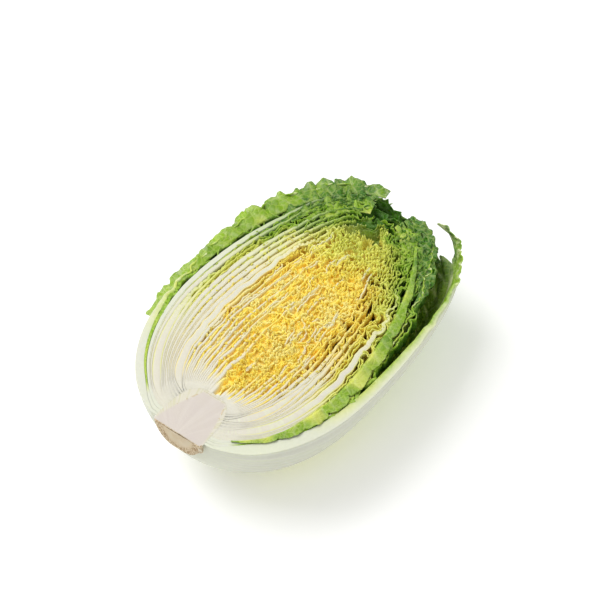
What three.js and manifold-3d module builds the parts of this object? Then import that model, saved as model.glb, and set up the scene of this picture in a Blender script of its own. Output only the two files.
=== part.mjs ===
// Half of a napa cabbage head, cut lengthwise through its stem and lying on its rounded back, cut face up.
// In the head's own frame the axis runs along +X from the cut stem at x = 0 to the leaf tips, and the cut
// face is the plane z = 0 with the half below it. Sizes are in millimetres, angles in degrees.
//
// Every leaf is a curved shell nested on the one inside it. A place in the head is given by three numbers:
// layer (0 at the axis, 1 at the outermost skin), run (0 at the stem, 1 at the tip) and turn (0 at the cut
// face's +Y side, 90 at the bottom, 180 at its -Y side). The leaves at each place share the room there.
import * as THREE from 'three';
import Module from 'manifold-3d';
import { mergeVertices } from 'three/addons/utils/BufferGeometryUtils.js';

// Driving dimensions of the head
const HEAD_RADIUS = 92;
const BELLY_X = 110;
const TIP_X = 282;
const HEART_TIP_X = 232;
const TIP_RADIUS = 11;
const FULLNESS = 0.9;
const FOOT_DEPTH = 87;
const TIP_CROWDING = 1.5;

// The stem, a blunt dome that every leaf grows from
const STEM_RADIUS = 22;
const STEM_HEIGHT = 44;
const STEM_BLUNTNESS = 3.2;
const STEM_SIDES = 24;
const LOWEST_ROOT = 3;
const ROOT_CROWDING = 1.6;
const ROOT_FADE = 1.5;
const STEM_CLEARANCE = 1.3;
const STEM_BEVEL = 1.5;

// The leaves
const LEAF_COUNT = 10;
const OUTER_LEAVES = 3;
const OUTERMOST_CENTRE = 165;
const GOLDEN_TURN = 137.5;
const INNER_LAYER = 0.4;
const OUTER_SPAN = 104;
const MARGIN_END = 0.28;
const MARGIN_ROOM = 18;
const BLADE = 1;
const LEAST_GAP = 0.55;

// The white midrib of a leaf: its half width in degrees at the tip, and what the root adds to that, how its
// edge thins out into the blade as shares of that width, and how thick it is along the run
const RIB_TURN = 12;
const RIB_ROOT_TURN = 68;
const RIB_EDGE = [0.55, 1.1];
const ROOT_THICKNESS = 1.8;
const RIB_THICKNESS = 5.6;
const RIB_SWELL_RUN = 0.16;
const RIB_TAPER = 0.8;

// The crinkle of the blades: its share of the gap, the run over which it sets in and its turn per step
const WAVE_SHARE = 0.34;
const NEAR_CUT_SHARE = 0.5;
const WAVE_RUN = [0.15, 0.4];
const WAVE_TURN = 2.05;
const PHASE_TURN = 2.4;
const FRILL_STEPS = 8;
const FRILL_REACH = 5;

// How the two outermost leaves stand away from the head: reach in millimetres, and where it sets in
const OUTER_FLARE = 30;
const OUTER_FLARE_RUN = [0.42, 1];
const OUTER_FLARE_TURN = [115, 180];
const INNER_FLARE = 13;
const INNER_FLARE_RUN = [0.45, 0.75];
const INNER_FLARE_TURN = 60;

// The heart of small leaves: a core, and the cut leaves that stand up from it as wavy walls
const HEART_LAYER = 0.345;
const HEART_CLEARANCE = 0.5;
const HEART_RECESS = 5;
const HEART_STEPS = 14;
const HEART_SIDES = 16;
const OUTERMOST_RIBBON = HEART_LAYER - 0.01;
const RIBBON_STEPS = 34;
const RIBBON_THICKNESS = 1.3;
const RIBBON_DEPTH = 8;
const RIBBON_LAYERS = 6;
const RIBBON_RUN = [0.07, 0.97];
const RIBBON_SHORTER = 0.1;
const RIBBON_WAVE = 1.7;
const RIBBON_WAVE_STEPS = [2, 10];
const RIBBON_WAVE_TURN = 2.2;
const OPPOSITE_PHASE = 0.7;

// The grid that all leaves share, so that nested shells keep clear of each other
const STEPS = 56;
const OUTER_ROWS = [0, 8, 24, 40, 56, 73, 90, 107, 124, 140, 156, 172, 180];
const INNER_ROWS = [0, 8, 40, 73, 107, 140, 172, 180];
const NEAR_CUT = 8;
const FINE_STRIDE = 2;
const COARSE_STRIDE = 4;

// Where and how finely the room across the leaves is measured
const MIDDLE_LAYER = 0.7;
const LAYER_STEP = 0.1;
const RUN_STEP = 0.01;

const wasm = await Module();
wasm.setup();

const { lerp, smoothstep, degToRad } = THREE.MathUtils;

// Shape of the head

// The stem's radius at a height above its cut end.
function stemRadius(x) {
  return STEM_RADIUS * (1 - (x / STEM_HEIGHT) ** STEM_BLUNTNESS) ** (1 / STEM_BLUNTNESS);
}

// Where on the stem a layer's leaf is rooted, as a height and a radius.
function root(layer) {
  const x = lerp(STEM_HEIGHT, LOWEST_ROOT, layer ** ROOT_CROWDING);
  return { x, r: stemRadius(x) };
}

// The outline of the whole head, an egg drawn by an angle that runs from the lowest root to the tip.
const firstAngle = Math.asin((STEM_RADIUS / HEAD_RADIUS) ** (1 / FULLNESS));
const lastAngle = Math.PI - Math.asin((TIP_RADIUS / HEAD_RADIUS) ** (1 / FULLNESS));
const lowerReach = (BELLY_X - LOWEST_ROOT) / Math.cos(firstAngle);
const upperReach = (BELLY_X - TIP_X) / Math.cos(lastAngle);

function outline(run) {
  const angle = lerp(firstAngle, lastAngle, run);
  const reach = angle < Math.PI / 2 ? lowerReach : upperReach;
  return { x: BELLY_X - reach * Math.cos(angle), r: HEAD_RADIUS * Math.sin(angle) ** FULLNESS };
}

// A place in the head as a height along the axis and a distance from it. The bottom is pressed flat.
function profile(layer, run, turn) {
  const outer = outline(run);
  const share = (outer.x - LOWEST_ROOT) / (TIP_X - LOWEST_ROOT);
  const rooted = (1 - share) ** ROOT_FADE;
  const start = root(layer);
  const tip = lerp(HEART_TIP_X, TIP_X, layer ** TIP_CROWDING);
  const depth = outer.r * Math.sin(degToRad(turn));
  const pressed = depth > FOOT_DEPTH ? FOOT_DEPTH / depth : 1;
  return {
    x: lerp(start.x, tip, share),
    r: pressed * (start.r * rooted + layer * (outer.r - STEM_RADIUS * rooted)),
  };
}

function place(at, turn, reach = 0) {
  const angle = degToRad(turn);
  const r = at.r + reach;
  const level = turn === 0 || turn === 180;
  return new THREE.Vector3(at.x, r * Math.cos(angle), level ? 0 : -r * Math.sin(angle));
}

// Millimetres of room across the leaves for one unit of layer, at a place.
function roomPerLayer(run, turn) {
  const low = profile(MIDDLE_LAYER - LAYER_STEP, run, turn);
  const high = profile(MIDDLE_LAYER + LAYER_STEP, run, turn);
  const before = profile(MIDDLE_LAYER, Math.max(0, run - RUN_STEP), turn);
  const after = profile(MIDDLE_LAYER, Math.min(1, run + RUN_STEP), turn);
  const along = Math.hypot(after.x - before.x, after.r - before.r);
  const cross = (high.r - low.r) * (after.x - before.x) - (high.x - low.x) * (after.r - before.r);
  return Math.abs(cross) / along / (2 * LAYER_STEP);
}

// The leaves and the room they share

// Angle between two turns, 0 to 180.
function turnBetween(a, b) {
  const d = Math.abs(a - b) % 360;
  return Math.min(d, 360 - d);
}

const leaves = Array.from({ length: LEAF_COUNT }, (_, i) => {
  const fromOutside = LEAF_COUNT - 1 - i;
  const outer = fromOutside < OUTER_LEAVES;
  return {
    name: `leaf_${String(i + 1).padStart(2, '0')}`,
    centre: OUTERMOST_CENTRE - fromOutside * GOLDEN_TURN,
    span: outer ? OUTER_SPAN : 180,
    rows: outer ? OUTER_ROWS : INNER_ROWS,
    stride: outer ? FINE_STRIDE : COARSE_STRIDE,
    lastStep: STEPS - (outer ? 0 : COARSE_STRIDE * (i % 2)),
    phase: i * PHASE_TURN,
  };
});
const innerFlare = leaves[LEAF_COUNT - 2];
const outerFlare = leaves[LEAF_COUNT - 1];

// The step where a leaf's blade ends, at an angle away from its midrib. A margin ends below the tip.
function finalStep(leaf, away) {
  const share = leaf.span < 180 ? away / leaf.span : 0;
  return COARSE_STRIDE * Math.round((leaf.lastStep / COARSE_STRIDE) * (1 - MARGIN_END * share ** 2));
}

// Share of rib in a leaf at a place: 1 on the white midrib, 0 on the thin blade.
function ribShare(leaf, run, turn) {
  const halfWidth = RIB_TURN + RIB_ROOT_TURN * (1 - run) ** 2;
  return 1 - smoothstep(turnBetween(turn, leaf.centre) / halfWidth, ...RIB_EDGE);
}

function thickness(leaf, run, turn) {
  const swell = smoothstep(run, 0, RIB_SWELL_RUN) * (1 - run) ** RIB_TAPER;
  return lerp(BLADE, ROOT_THICKNESS + RIB_THICKNESS * swell, ribShare(leaf, run, turn));
}

// Whether a leaf takes room at a place. It does so for a row or two beyond its margin too, so that the coarse
// rows of its neighbours stay clear of the margin.
function takesRoom(leaf, step, turn) {
  const away = Math.max(0, turnBetween(turn, leaf.centre) - MARGIN_ROOM);
  return away <= leaf.span && step <= finalStep(leaf, away) + COARSE_STRIDE;
}

// The layers between which each leaf lies at a place, and the gap beside it, all in units of layer.
function stack(step, turn) {
  const run = step / STEPS;
  const here = leaves.filter((leaf) => takesRoom(leaf, step, turn));
  const scale = roomPerLayer(run, turn);
  const room = (1 - INNER_LAYER) * scale;
  const wanted = here.reduce((sum, leaf) => sum + thickness(leaf, run, turn), 0);
  const squeeze = Math.min(1, (room - here.length * LEAST_GAP) / wanted);
  const gap = (room - wanted * squeeze) / here.length / scale;
  const bounds = new Map();
  let layer = INNER_LAYER;
  for (const leaf of here) {
    const inner = layer + gap;
    const outer = inner + (thickness(leaf, run, turn) * squeeze) / scale;
    bounds.set(leaf, { inner, outer, gap });
    layer = outer;
  }
  return bounds;
}

// How far a place is into the frill at a leaf's tip, 0 to 1.
function frill(leaf, step, turn) {
  const end = finalStep(leaf, turnBetween(turn, leaf.centre));
  return smoothstep(step, end - FRILL_STEPS, end);
}

// How far the two outermost leaves stand away from the head at the cut face, towards their tips.
function flare(leaf, step, turn) {
  const run = step / STEPS;
  const ruffle = FRILL_REACH * frill(leaf, step, turn) * (1 + Math.sin(turn)) / 2;
  if (leaf === outerFlare) {
    return ruffle + OUTER_FLARE * smoothstep(run, ...OUTER_FLARE_RUN) * smoothstep(turn, ...OUTER_FLARE_TURN);
  }
  if (leaf === innerFlare) {
    const towardsCut = smoothstep(INNER_FLARE_TURN - turn, 0, INNER_FLARE_TURN);
    return (ruffle + INNER_FLARE * smoothstep(run, ...INNER_FLARE_RUN)) * towardsCut;
  }
  return 0;
}

// The crinkle of a blade where it is cut and along its tip, kept within its own share of the gap.
function wave(leaf, step, turn) {
  const fromCut = Math.min(turn, 180 - turn);
  const nearCut = fromCut <= NEAR_CUT ? NEAR_CUT_SHARE : 0;
  const strength = fromCut === 0 ? 1 : Math.max(nearCut, frill(leaf, step, turn));
  const run = step / STEPS;
  const soft = (1 - ribShare(leaf, run, turn)) * smoothstep(run, ...WAVE_RUN);
  return WAVE_SHARE * strength * soft * Math.sin(step * WAVE_TURN + leaf.phase + turn);
}

// One leaf as a closed shell on the shared grid
function leafGeometry(leaf) {
  const rows = leaf.rows.filter((turn) => turnBetween(turn, leaf.centre) <= leaf.span);
  const positions = [];
  const grid = rows.map((turn) => {
    const fromCut = Math.min(turn, 180 - turn);
    const nearCutStride = fromCut === 0 ? 1 : FINE_STRIDE;
    const stride = fromCut <= NEAR_CUT ? nearCutStride : leaf.stride;
    const row = [];
    const away = turnBetween(turn, leaf.centre);
    for (let step = 0; step <= finalStep(leaf, away); step += stride) {
      const run = step / STEPS;
      const bounds = stack(step, turn).get(leaf);
      const shift = wave(leaf, step, turn) * bounds.gap;
      const reach = flare(leaf, step, turn);
      const inner = place(profile(bounds.inner + shift, run, turn), turn, reach);
      const outer = place(profile(bounds.outer + shift, run, turn), turn, reach);
      const index = positions.length / 3;
      positions.push(...inner.toArray(), ...outer.toArray());
      row.push({ step, inner: index, outer: index + 1 });
    }
    return row;
  });

  const faces = [];
  const triangle = (a, b, c) => {
    faces.push(a.outer, c.outer, b.outer);
    faces.push(a.inner, b.inner, c.inner);
  };
  const rim = (a, b) => {
    faces.push(a.outer, a.inner, b.inner);
    faces.push(a.outer, b.inner, b.outer);
  };
  for (let j = 0; j + 1 < grid.length; j += 1) {
    stitch(grid[j], grid[j + 1], triangle);
    rim(grid[j + 1][0], grid[j][0]);
    rim(grid[j].at(-1), grid[j + 1].at(-1));
  }
  for (let i = 0; i + 1 < grid[0].length; i += 1) rim(grid[0][i], grid[0][i + 1]);
  const last = grid.at(-1);
  for (let i = 0; i + 1 < last.length; i += 1) rim(last[i + 1], last[i]);

  const geometry = new THREE.BufferGeometry();
  geometry.setAttribute('position', new THREE.Float32BufferAttribute(positions, 3));
  geometry.setIndex(faces);
  return geometry;
}

// Fills the strip between two rows of points, taking the next point from the row that lags behind.
function stitch(a, b, triangle) {
  let i = 0;
  let j = 0;
  while (i < a.length - 1 || j < b.length - 1) {
    const nextA = i < a.length - 1 ? a[i + 1].step : Infinity;
    const nextB = j < b.length - 1 ? b[j + 1].step : Infinity;
    if (nextA <= nextB) {
      triangle(a[i], b[j], a[i + 1]);
      i += 1;
    } else {
      triangle(a[i], b[j], b[j + 1]);
      j += 1;
    }
  }
}

// Solids that are cut or joined

function toSolid(geometry) {
  const bare = new THREE.BufferGeometry();
  bare.setAttribute('position', geometry.getAttribute('position'));
  bare.setIndex(geometry.index);
  const merged = mergeVertices(bare, 1e-4);
  return new wasm.Manifold(
    new wasm.Mesh({
      numProp: 3,
      vertProperties: merged.attributes.position.array,
      triVerts: new Uint32Array(merged.index.array),
    }),
  );
}

function toGeometry(solid) {
  const mesh = solid.getMesh();
  const geometry = new THREE.BufferGeometry();
  geometry.setAttribute('position', new THREE.BufferAttribute(mesh.vertProperties, 3));
  geometry.setIndex(new THREE.BufferAttribute(mesh.triVerts, 1));
  return geometry;
}

// The part of a round body, given by its profile of [x, r] points, that lies below a level.
function halfTurned(points, segments, level) {
  const lathe = new THREE.LatheGeometry(points.map(([x, r]) => new THREE.Vector2(r, x)), segments);
  lathe.rotateZ(-Math.PI / 2);
  const size = 4 * HEAD_RADIUS;
  const below = new THREE.BoxGeometry(2 * TIP_X, size, size).translate(TIP_X / 2, 0, level - size / 2);
  return toSolid(lathe).intersect(toSolid(below));
}

function stemGeometry() {
  const scale = (STEM_RADIUS - STEM_CLEARANCE) / STEM_RADIUS;
  const dome = [0.06, 0.3, 0.5, 0.66, 0.78, 0.87, 0.94, 0.98, 0.995].map((share) => [
    share * (STEM_HEIGHT - STEM_CLEARANCE),
    scale * stemRadius(share * STEM_HEIGHT),
  ]);
  const mouth = scale * STEM_RADIUS - STEM_BEVEL;
  const points = [[0, 0], [0, mouth], ...dome, [STEM_HEIGHT - STEM_CLEARANCE, 0]];
  return toGeometry(halfTurned(points, STEM_SIDES, 0));
}

// One cut leaf of the heart: a wavy wall along a layer's line on one side of the cut face.
function ribbon(layer, turn, phase) {
  const middle = [];
  for (let i = 0; i <= RIBBON_STEPS; i += 1) {
    const run = lerp(RIBBON_RUN[0], RIBBON_RUN[1] - RIBBON_SHORTER * (phase % 2), i / RIBBON_STEPS);
    const at = place(profile(layer, run, turn), turn);
    middle.push(new THREE.Vector2(at.x, at.y));
  }
  const left = [];
  const right = [];
  middle.forEach((at, i) => {
    const before = middle[Math.max(0, i - 1)];
    const after = middle[Math.min(RIBBON_STEPS, i + 1)];
    const across = after.clone().sub(before).normalize().rotateAround(new THREE.Vector2(), Math.PI / 2);
    const swing = RIBBON_WAVE * smoothstep(i, ...RIBBON_WAVE_STEPS) * Math.sin(RIBBON_WAVE_TURN * i + phase);
    left.push(at.clone().addScaledVector(across, swing + RIBBON_THICKNESS / 2));
    right.push(at.clone().addScaledVector(across, swing - RIBBON_THICKNESS / 2));
  });
  const shape = new THREE.Shape([...right, ...left.reverse()]);
  const wall = new THREE.ExtrudeGeometry(shape, { depth: RIBBON_DEPTH, bevelEnabled: false });
  return toSolid(wall.translate(0, 0, -RIBBON_DEPTH));
}

function heartGeometry() {
  const foot = [0, 0.4, 0.7, 1].map((share) => {
    const at = root(share * HEART_LAYER);
    return [at.x + HEART_CLEARANCE, share === 0 ? 0 : at.r];
  });
  const side = Array.from({ length: HEART_STEPS }, (_, i) => {
    const at = profile(HEART_LAYER, (i + 1) / HEART_STEPS, 0);
    return [at.x, at.r];
  });
  const points = [...foot, ...side, [side.at(-1)[0], 0]];
  let heart = halfTurned(points, HEART_SIDES, -HEART_RECESS);
  for (let i = 0; i <= RIBBON_LAYERS; i += 1) {
    const layer = (OUTERMOST_RIBBON * i) / RIBBON_LAYERS;
    heart = heart.add(ribbon(layer, 0, i));
    if (i > 0) heart = heart.add(ribbon(layer, 180, i + OPPOSITE_PHASE));
  }
  return toGeometry(heart);
}

// Colours

const stemFlesh = new THREE.MeshStandardMaterial({ color: 0xe9e3e2, roughness: 0.5, metalness: 0 });
const heartYellow = new THREE.MeshStandardMaterial({ color: 0xf2cf4a, roughness: 0.55, metalness: 0 });
const innerLeaf = new THREE.MeshStandardMaterial({ color: 0xeeeec2, roughness: 0.5, metalness: 0 });
const outerLeaf = new THREE.MeshStandardMaterial({ color: 0x9dbf5a, roughness: 0.5, metalness: 0 });
for (const material of [innerLeaf, outerLeaf]) material.flatShading = true;

// The half head

const head = new THREE.Group();

function add(name, geometry, material) {
  const mesh = new THREE.Mesh(geometry, material);
  mesh.name = name;
  head.add(mesh);
}

add('stem', stemGeometry(), stemFlesh);
add('heart_leaves', heartGeometry(), heartYellow);
leaves.forEach((leaf, i) => {
  add(leaf.name, leafGeometry(leaf), i < LEAF_COUNT - OUTER_LEAVES ? innerLeaf : outerLeaf);
});

// The part's origin is under the middle of the half, on the surface that it lies on.
const box = new THREE.Box3().setFromObject(head);
const middle = box.getCenter(new THREE.Vector3());
head.position.set(-middle.x, -middle.y, -box.min.z);

const cabbage = new THREE.Group();
cabbage.add(head);

export default cabbage;
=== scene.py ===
"""Half of a napa cabbage head, cut lengthwise, lying on its rounded back with the cut face up.

Sizes are in millimetres and degrees in the head's own frame: x runs along the axis from the cut stem at 0 to
the leaf tips, the cut face is the plane z = 0 and the half lies below it. HeadFrame turns them into metres
in the frame of the solids. A place in the head is a layer (0 at the axis, 1 at the skin), a run (0 at the
stem, 1 at the tip) and a turn (0 at the cut face's +Y side, 90 at the bottom, 180 at its -Y side).
"""

import logging
import math
from dataclasses import dataclass, field, replace
from enum import Enum

import bpy
import numpy as np
from mathutils import Matrix, Vector


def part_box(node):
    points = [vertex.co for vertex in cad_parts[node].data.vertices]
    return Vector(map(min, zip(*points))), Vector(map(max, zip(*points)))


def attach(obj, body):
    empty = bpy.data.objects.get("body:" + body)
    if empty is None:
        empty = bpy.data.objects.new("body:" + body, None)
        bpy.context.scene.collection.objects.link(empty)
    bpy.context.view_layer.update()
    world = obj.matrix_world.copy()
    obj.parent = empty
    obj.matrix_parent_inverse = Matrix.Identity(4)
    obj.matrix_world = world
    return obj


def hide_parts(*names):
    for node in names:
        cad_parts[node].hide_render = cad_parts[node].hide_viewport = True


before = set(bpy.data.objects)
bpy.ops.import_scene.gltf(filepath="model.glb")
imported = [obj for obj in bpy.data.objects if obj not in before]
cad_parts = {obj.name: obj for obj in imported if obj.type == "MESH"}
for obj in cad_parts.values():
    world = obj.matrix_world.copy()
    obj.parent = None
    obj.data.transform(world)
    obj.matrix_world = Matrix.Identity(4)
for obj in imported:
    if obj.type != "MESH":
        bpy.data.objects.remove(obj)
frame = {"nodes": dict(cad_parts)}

LOG = logging.getLogger("cabbage")
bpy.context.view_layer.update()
BODY = "root"
METRES = 0.001
WELD_DISTANCE = 0.0005
UV_SCALE = 0.01
LEVEL_DEPTH = (2.0, 14.0)

Array = np.ndarray
Pair = tuple[float, float]
Several = tuple[float, ...]
Colour = Several
Step = Several
Socket = bpy.types.NodeSocket
Material = bpy.types.Material


class Side(Enum):
    """The two edges of the cut face, by the turn at which they lie."""

    LEFT = 0.0
    RIGHT = 180.0

    @property
    def sign(self) -> float:
        """1 on the left, where y is positive, and -1 on the right."""
        return 1.0 if self is Side.LEFT else -1.0


class Slot(Enum):
    """The record's material slots."""

    STEM = "stem_flesh"
    HEART = "heart_leaf"
    INNER = "inner_leaf"
    OUTER = "outer_leaf"


def mix(a: Array | float, b: Array | float, share: Array | float) -> Array:
    """Goes from a to b in a straight line as share goes from 0 to 1."""
    return a + (b - a) * share


def smooth(value: Array | float, low: Array | float, high: Array | float) -> Array:
    """Rises from 0 at low to 1 at high along the curve 3t^2 - 2t^3."""
    t = np.clip((value - low) / (high - low), 0.0, 1.0)
    return t * t * (3.0 - 2.0 * t)


def turn_between(a: Array | float, b: float) -> Array:
    """Angle between two turns, 0 to 180."""
    d = np.abs(a - b) % 360.0
    return np.minimum(d, 360.0 - d)


def unit(vectors: Array) -> Array:
    """The vectors at length 1."""
    return vectors / np.maximum(np.linalg.norm(vectors, axis=-1, keepdims=True), 1e-9)


def stacked(*parts: Array) -> Array:
    """Arrays of one shape, or that spread to one, as the coordinates of a last axis."""
    return np.stack(np.broadcast_arrays(*parts), axis=-1)


def window(value: Array, start: float, full: float, falls: float, gone: float) -> Array:
    """Rises from 0 at start to 1 at full, and falls back to 0 from falls to gone."""
    return smooth(value, start, full) * (1.0 - smooth(value, falls, gone))


@dataclass(frozen=True)
class HeadShape:
    """The egg of the whole head and the blunt stem that its leaves are rooted on."""

    radius: float = 92.0
    belly_x: float = 110.0
    tip_x: float = 282.0
    heart_tip_x: float = 232.0
    tip_radius: float = 11.0
    fullness: float = 0.9
    foot_depth: float = 87.0
    tip_crowding: float = 1.5
    stem_radius: float = 22.0
    stem_height: float = 44.0
    stem_bluntness: float = 3.2
    lowest_root: float = 3.0
    root_crowding: float = 1.6
    root_fade: float = 1.5
    last_layer: float = 1.2
    middle_layer: float = 0.7
    layer_step: float = 0.1
    run_step: float = 0.01

    def stem_profile(self, x: Array) -> Array:
        """The stem's radius at a height: its base radius times (1 - (x/height)^n)^(1/n)."""
        share = np.clip(x / self.stem_height, 0.0, 1.0)
        return self.stem_radius * (1.0 - share**self.stem_bluntness) ** (1.0 / self.stem_bluntness)

    def root(self, layer: Array) -> tuple[Array, Array]:
        """Height and radius on the stem where a layer's leaf is rooted."""
        x = mix(
            self.stem_height, self.lowest_root, np.clip(layer, 0.0, self.last_layer) ** self.root_crowding
        )
        return x, self.stem_profile(x)

    def outline(self, run: Array) -> tuple[Array, Array]:
        """The head's skin.

        An angle goes from the lowest root to the tip. The height follows its cosine, with one reach below
        the belly and another above it, and the radius follows its sine to the power of fullness.

        Args:
            run: 0 at the stem to 1 at the tip.

        Returns:
            Heights and radii in millimetres.
        """
        first = math.asin((self.stem_radius / self.radius) ** (1.0 / self.fullness))
        last = math.pi - math.asin((self.tip_radius / self.radius) ** (1.0 / self.fullness))
        angle = mix(first, last, run)
        lower = (self.belly_x - self.lowest_root) / math.cos(first)
        upper = (self.belly_x - self.tip_x) / math.cos(last)
        reach = np.where(angle < math.pi / 2, lower, upper)
        sine = np.maximum(np.sin(angle), 1e-4)
        return self.belly_x - reach * np.cos(angle), self.radius * sine**self.fullness

    def profile(self, layer: Array, run: Array, turn: Array) -> tuple[Array, Array]:
        """A place as a height along the axis and a distance from it, with the bottom pressed flat.

        Args:
            layer: the places' layers.
            run: their runs.
            turn: their turns.

        Returns:
            Heights and distances in millimetres.
        """
        outer_x, outer_r = self.outline(run)
        share = (outer_x - self.lowest_root) / (self.tip_x - self.lowest_root)
        rooted = np.clip(1.0 - share, 0.0, 1.0) ** self.root_fade
        start_x, start_r = self.root(layer)
        tip = mix(self.heart_tip_x, self.tip_x, np.clip(layer, 0.0, self.last_layer) ** self.tip_crowding)
        depth = outer_r * np.sin(np.radians(turn))
        pressed = np.where(depth > self.foot_depth, self.foot_depth / np.maximum(depth, 1e-9), 1.0)
        r = pressed * (start_r * rooted + layer * (outer_r - self.stem_radius * rooted))
        return mix(start_x, tip, share), r

    def room_per_layer(self, run: Array, turn: Array, middle: float | None = None) -> Array:
        """Millimetres across the leaves for one unit of layer.

        It is the cross product of the step across two layers with the step along the run, over the length of
        the step along the run.

        Args:
            run: the places' runs.
            turn: their turns.
            middle: the layer it is measured about, or none for the middle of the leaves.

        Returns:
            Millimetres for one unit of layer.
        """
        about = self.middle_layer if middle is None else middle
        step = min(self.layer_step, about)
        low_x, low_r = self.profile(about - step, run, turn)
        high_x, high_r = self.profile(about + step, run, turn)
        before_x, before_r = self.profile(about, np.maximum(0.0, run - self.run_step), turn)
        after_x, after_r = self.profile(about, np.minimum(1.0, run + self.run_step), turn)
        along = np.hypot(after_x - before_x, after_r - before_r)
        cross = (high_r - low_r) * (after_x - before_x) - (high_x - low_x) * (after_r - before_r)
        return np.abs(cross) / along / (2.0 * step)

    def place(self, layer: Array, run: Array, turn: Array, reach: Array | float = 0.0) -> Array:
        """Points in the head's frame: the profile carried round the axis by the turn.

        Args:
            layer: the places' layers.
            run: their runs.
            turn: their turns.
            reach: how far the points are moved away from the axis.

        Returns:
            (..., 3) points, level with the cut face at turns 0 and 180.
        """
        x, r = self.profile(layer, run, turn)
        angle = np.radians(turn)
        level = (np.abs(turn) < 1e-6) | (np.abs(turn - 180.0) < 1e-6)
        down = np.where(level, 0.0, -(r + reach) * np.sin(angle))
        return stacked(x, (r + reach) * np.cos(angle), down)


@dataclass(frozen=True)
class Leaf:
    """One leaf of the head: where its midrib stands, how far it wraps and how thick it is."""

    name: str
    number: int
    centre: float
    span: float
    last_run: float
    outer: bool
    blade: float = 0.85
    rib_turn: float = 12.0
    rib_root_turn: float = 68.0
    rib_edge: Pair = (0.55, 1.1)
    root_thickness: float = 1.8
    rib_thickness: float = 5.6
    rib_swell: float = 0.16
    rib_taper: float = 0.8
    margin_end: float = 0.28
    past_margin: float = 1.2
    room_turn: Pair = (8.0, 28.0)
    room_run: Pair = (0.02, 0.12)

    def end(self, turn: Array) -> Array:
        """The run where the blade ends: its last run, less a share of the squared angle from the midrib."""
        share = turn_between(turn, self.centre) / self.span if self.span < 180.0 else 0.0
        return self.last_run * (1.0 - self.margin_end * np.clip(share, 0.0, self.past_margin) ** 2)

    def presence(self, run: Array, turn: Array) -> Array:
        """Share of its room that the leaf takes at a place: 1 on it, falling to 0 beyond its margins.

        Args:
            run: the places' runs.
            turn: their turns.

        Returns:
            Shares from 0 to 1.
        """
        near = 1.0 - smooth(run, *(self.end(turn) + past for past in self.room_run))
        if self.span >= 180.0:
            return near
        away = turn_between(turn, self.centre)
        return near * (1.0 - smooth(away, *(self.span + past for past in self.room_turn)))

    def rib(self, run: Array, turn: Array) -> Array:
        """1 on the white midrib, 0 on the blade. The rib's half width falls with the square of the run."""
        half_width = self.rib_turn + self.rib_root_turn * (1.0 - run) ** 2
        return 1.0 - smooth(turn_between(turn, self.centre) / half_width, *self.rib_edge)

    def thickness(self, run: Array, turn: Array) -> Array:
        """Millimetres: the blade's, or the rib's, which swells above the root and tapers to the tip."""
        swell = smooth(run, 0.0, self.rib_swell) * np.clip(1.0 - run, 0.0, 1.0) ** self.rib_taper
        return mix(self.blade, self.root_thickness + self.rib_thickness * swell, self.rib(run, turn))


@dataclass(frozen=True)
class LeafStack:
    """The leaves in their order from the heart outwards, and how they share the room at each place."""

    shape: HeadShape
    count: int = 10
    outer_count: int = 3
    outermost_centre: float = 165.0
    golden_turn: float = 137.5
    inner_layer: float = 0.4
    outer_span: float = 104.0
    full_span: float = 180.0
    shorter_run: float = 4.0 / 56.0
    least_gap: float = 0.55

    @property
    def leaves(self) -> list[Leaf]:
        """The leaves, with midribs a golden turn apart. Every other inner leaf is a little shorter.

        Returns:
            The leaves from the heart outwards.
        """
        made = []
        for i in range(self.count):
            outward = self.count - 1 - i
            outer = outward < self.outer_count
            shorter = 0.0 if outer else self.shorter_run * (i % 2)
            centre = self.outermost_centre - outward * self.golden_turn
            span = self.outer_span if outer else self.full_span
            made.append(Leaf(f"leaf_{i + 1:02d}", i + 1, centre, span, 1.0 - shorter, outer))
        return made

    def bounds(self, run: Array, turn: Array) -> tuple[Array, Array, Array, Array]:
        """Where each leaf lies at places.

        The room left by all thicknesses is split into even gaps, a leaf's share of room falls to 0 past its
        margins, and layers add up from the heart outwards.

        Args:
            run: the places' runs.
            turn: the places' turns.

        Returns:
            Inner and outer layers, one row for each leaf, the gap inside each leaf in layers, and the
            millimetres of one layer.
        """
        leaves = self.leaves
        zero = 0.0 * (run + turn)
        weight = np.stack([leaf.presence(run, turn) + zero for leaf in leaves])
        thick = np.stack([leaf.thickness(run, turn) + zero for leaf in leaves])
        scale = self.shape.room_per_layer(run, turn)
        room = (1.0 - self.inner_layer) * scale
        number = np.maximum(weight.sum(0), 1.0)
        wanted = (weight * thick).sum(0)
        squeeze = np.minimum(1.0, (room - number * self.least_gap) / wanted)
        gap = (room - wanted * squeeze) / number / scale
        taken = weight * (gap + thick * squeeze / scale)
        outer = self.inner_layer + np.cumsum(taken, axis=0)
        inner = outer - weight * thick * squeeze / scale
        return inner, outer, gap, scale


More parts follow.
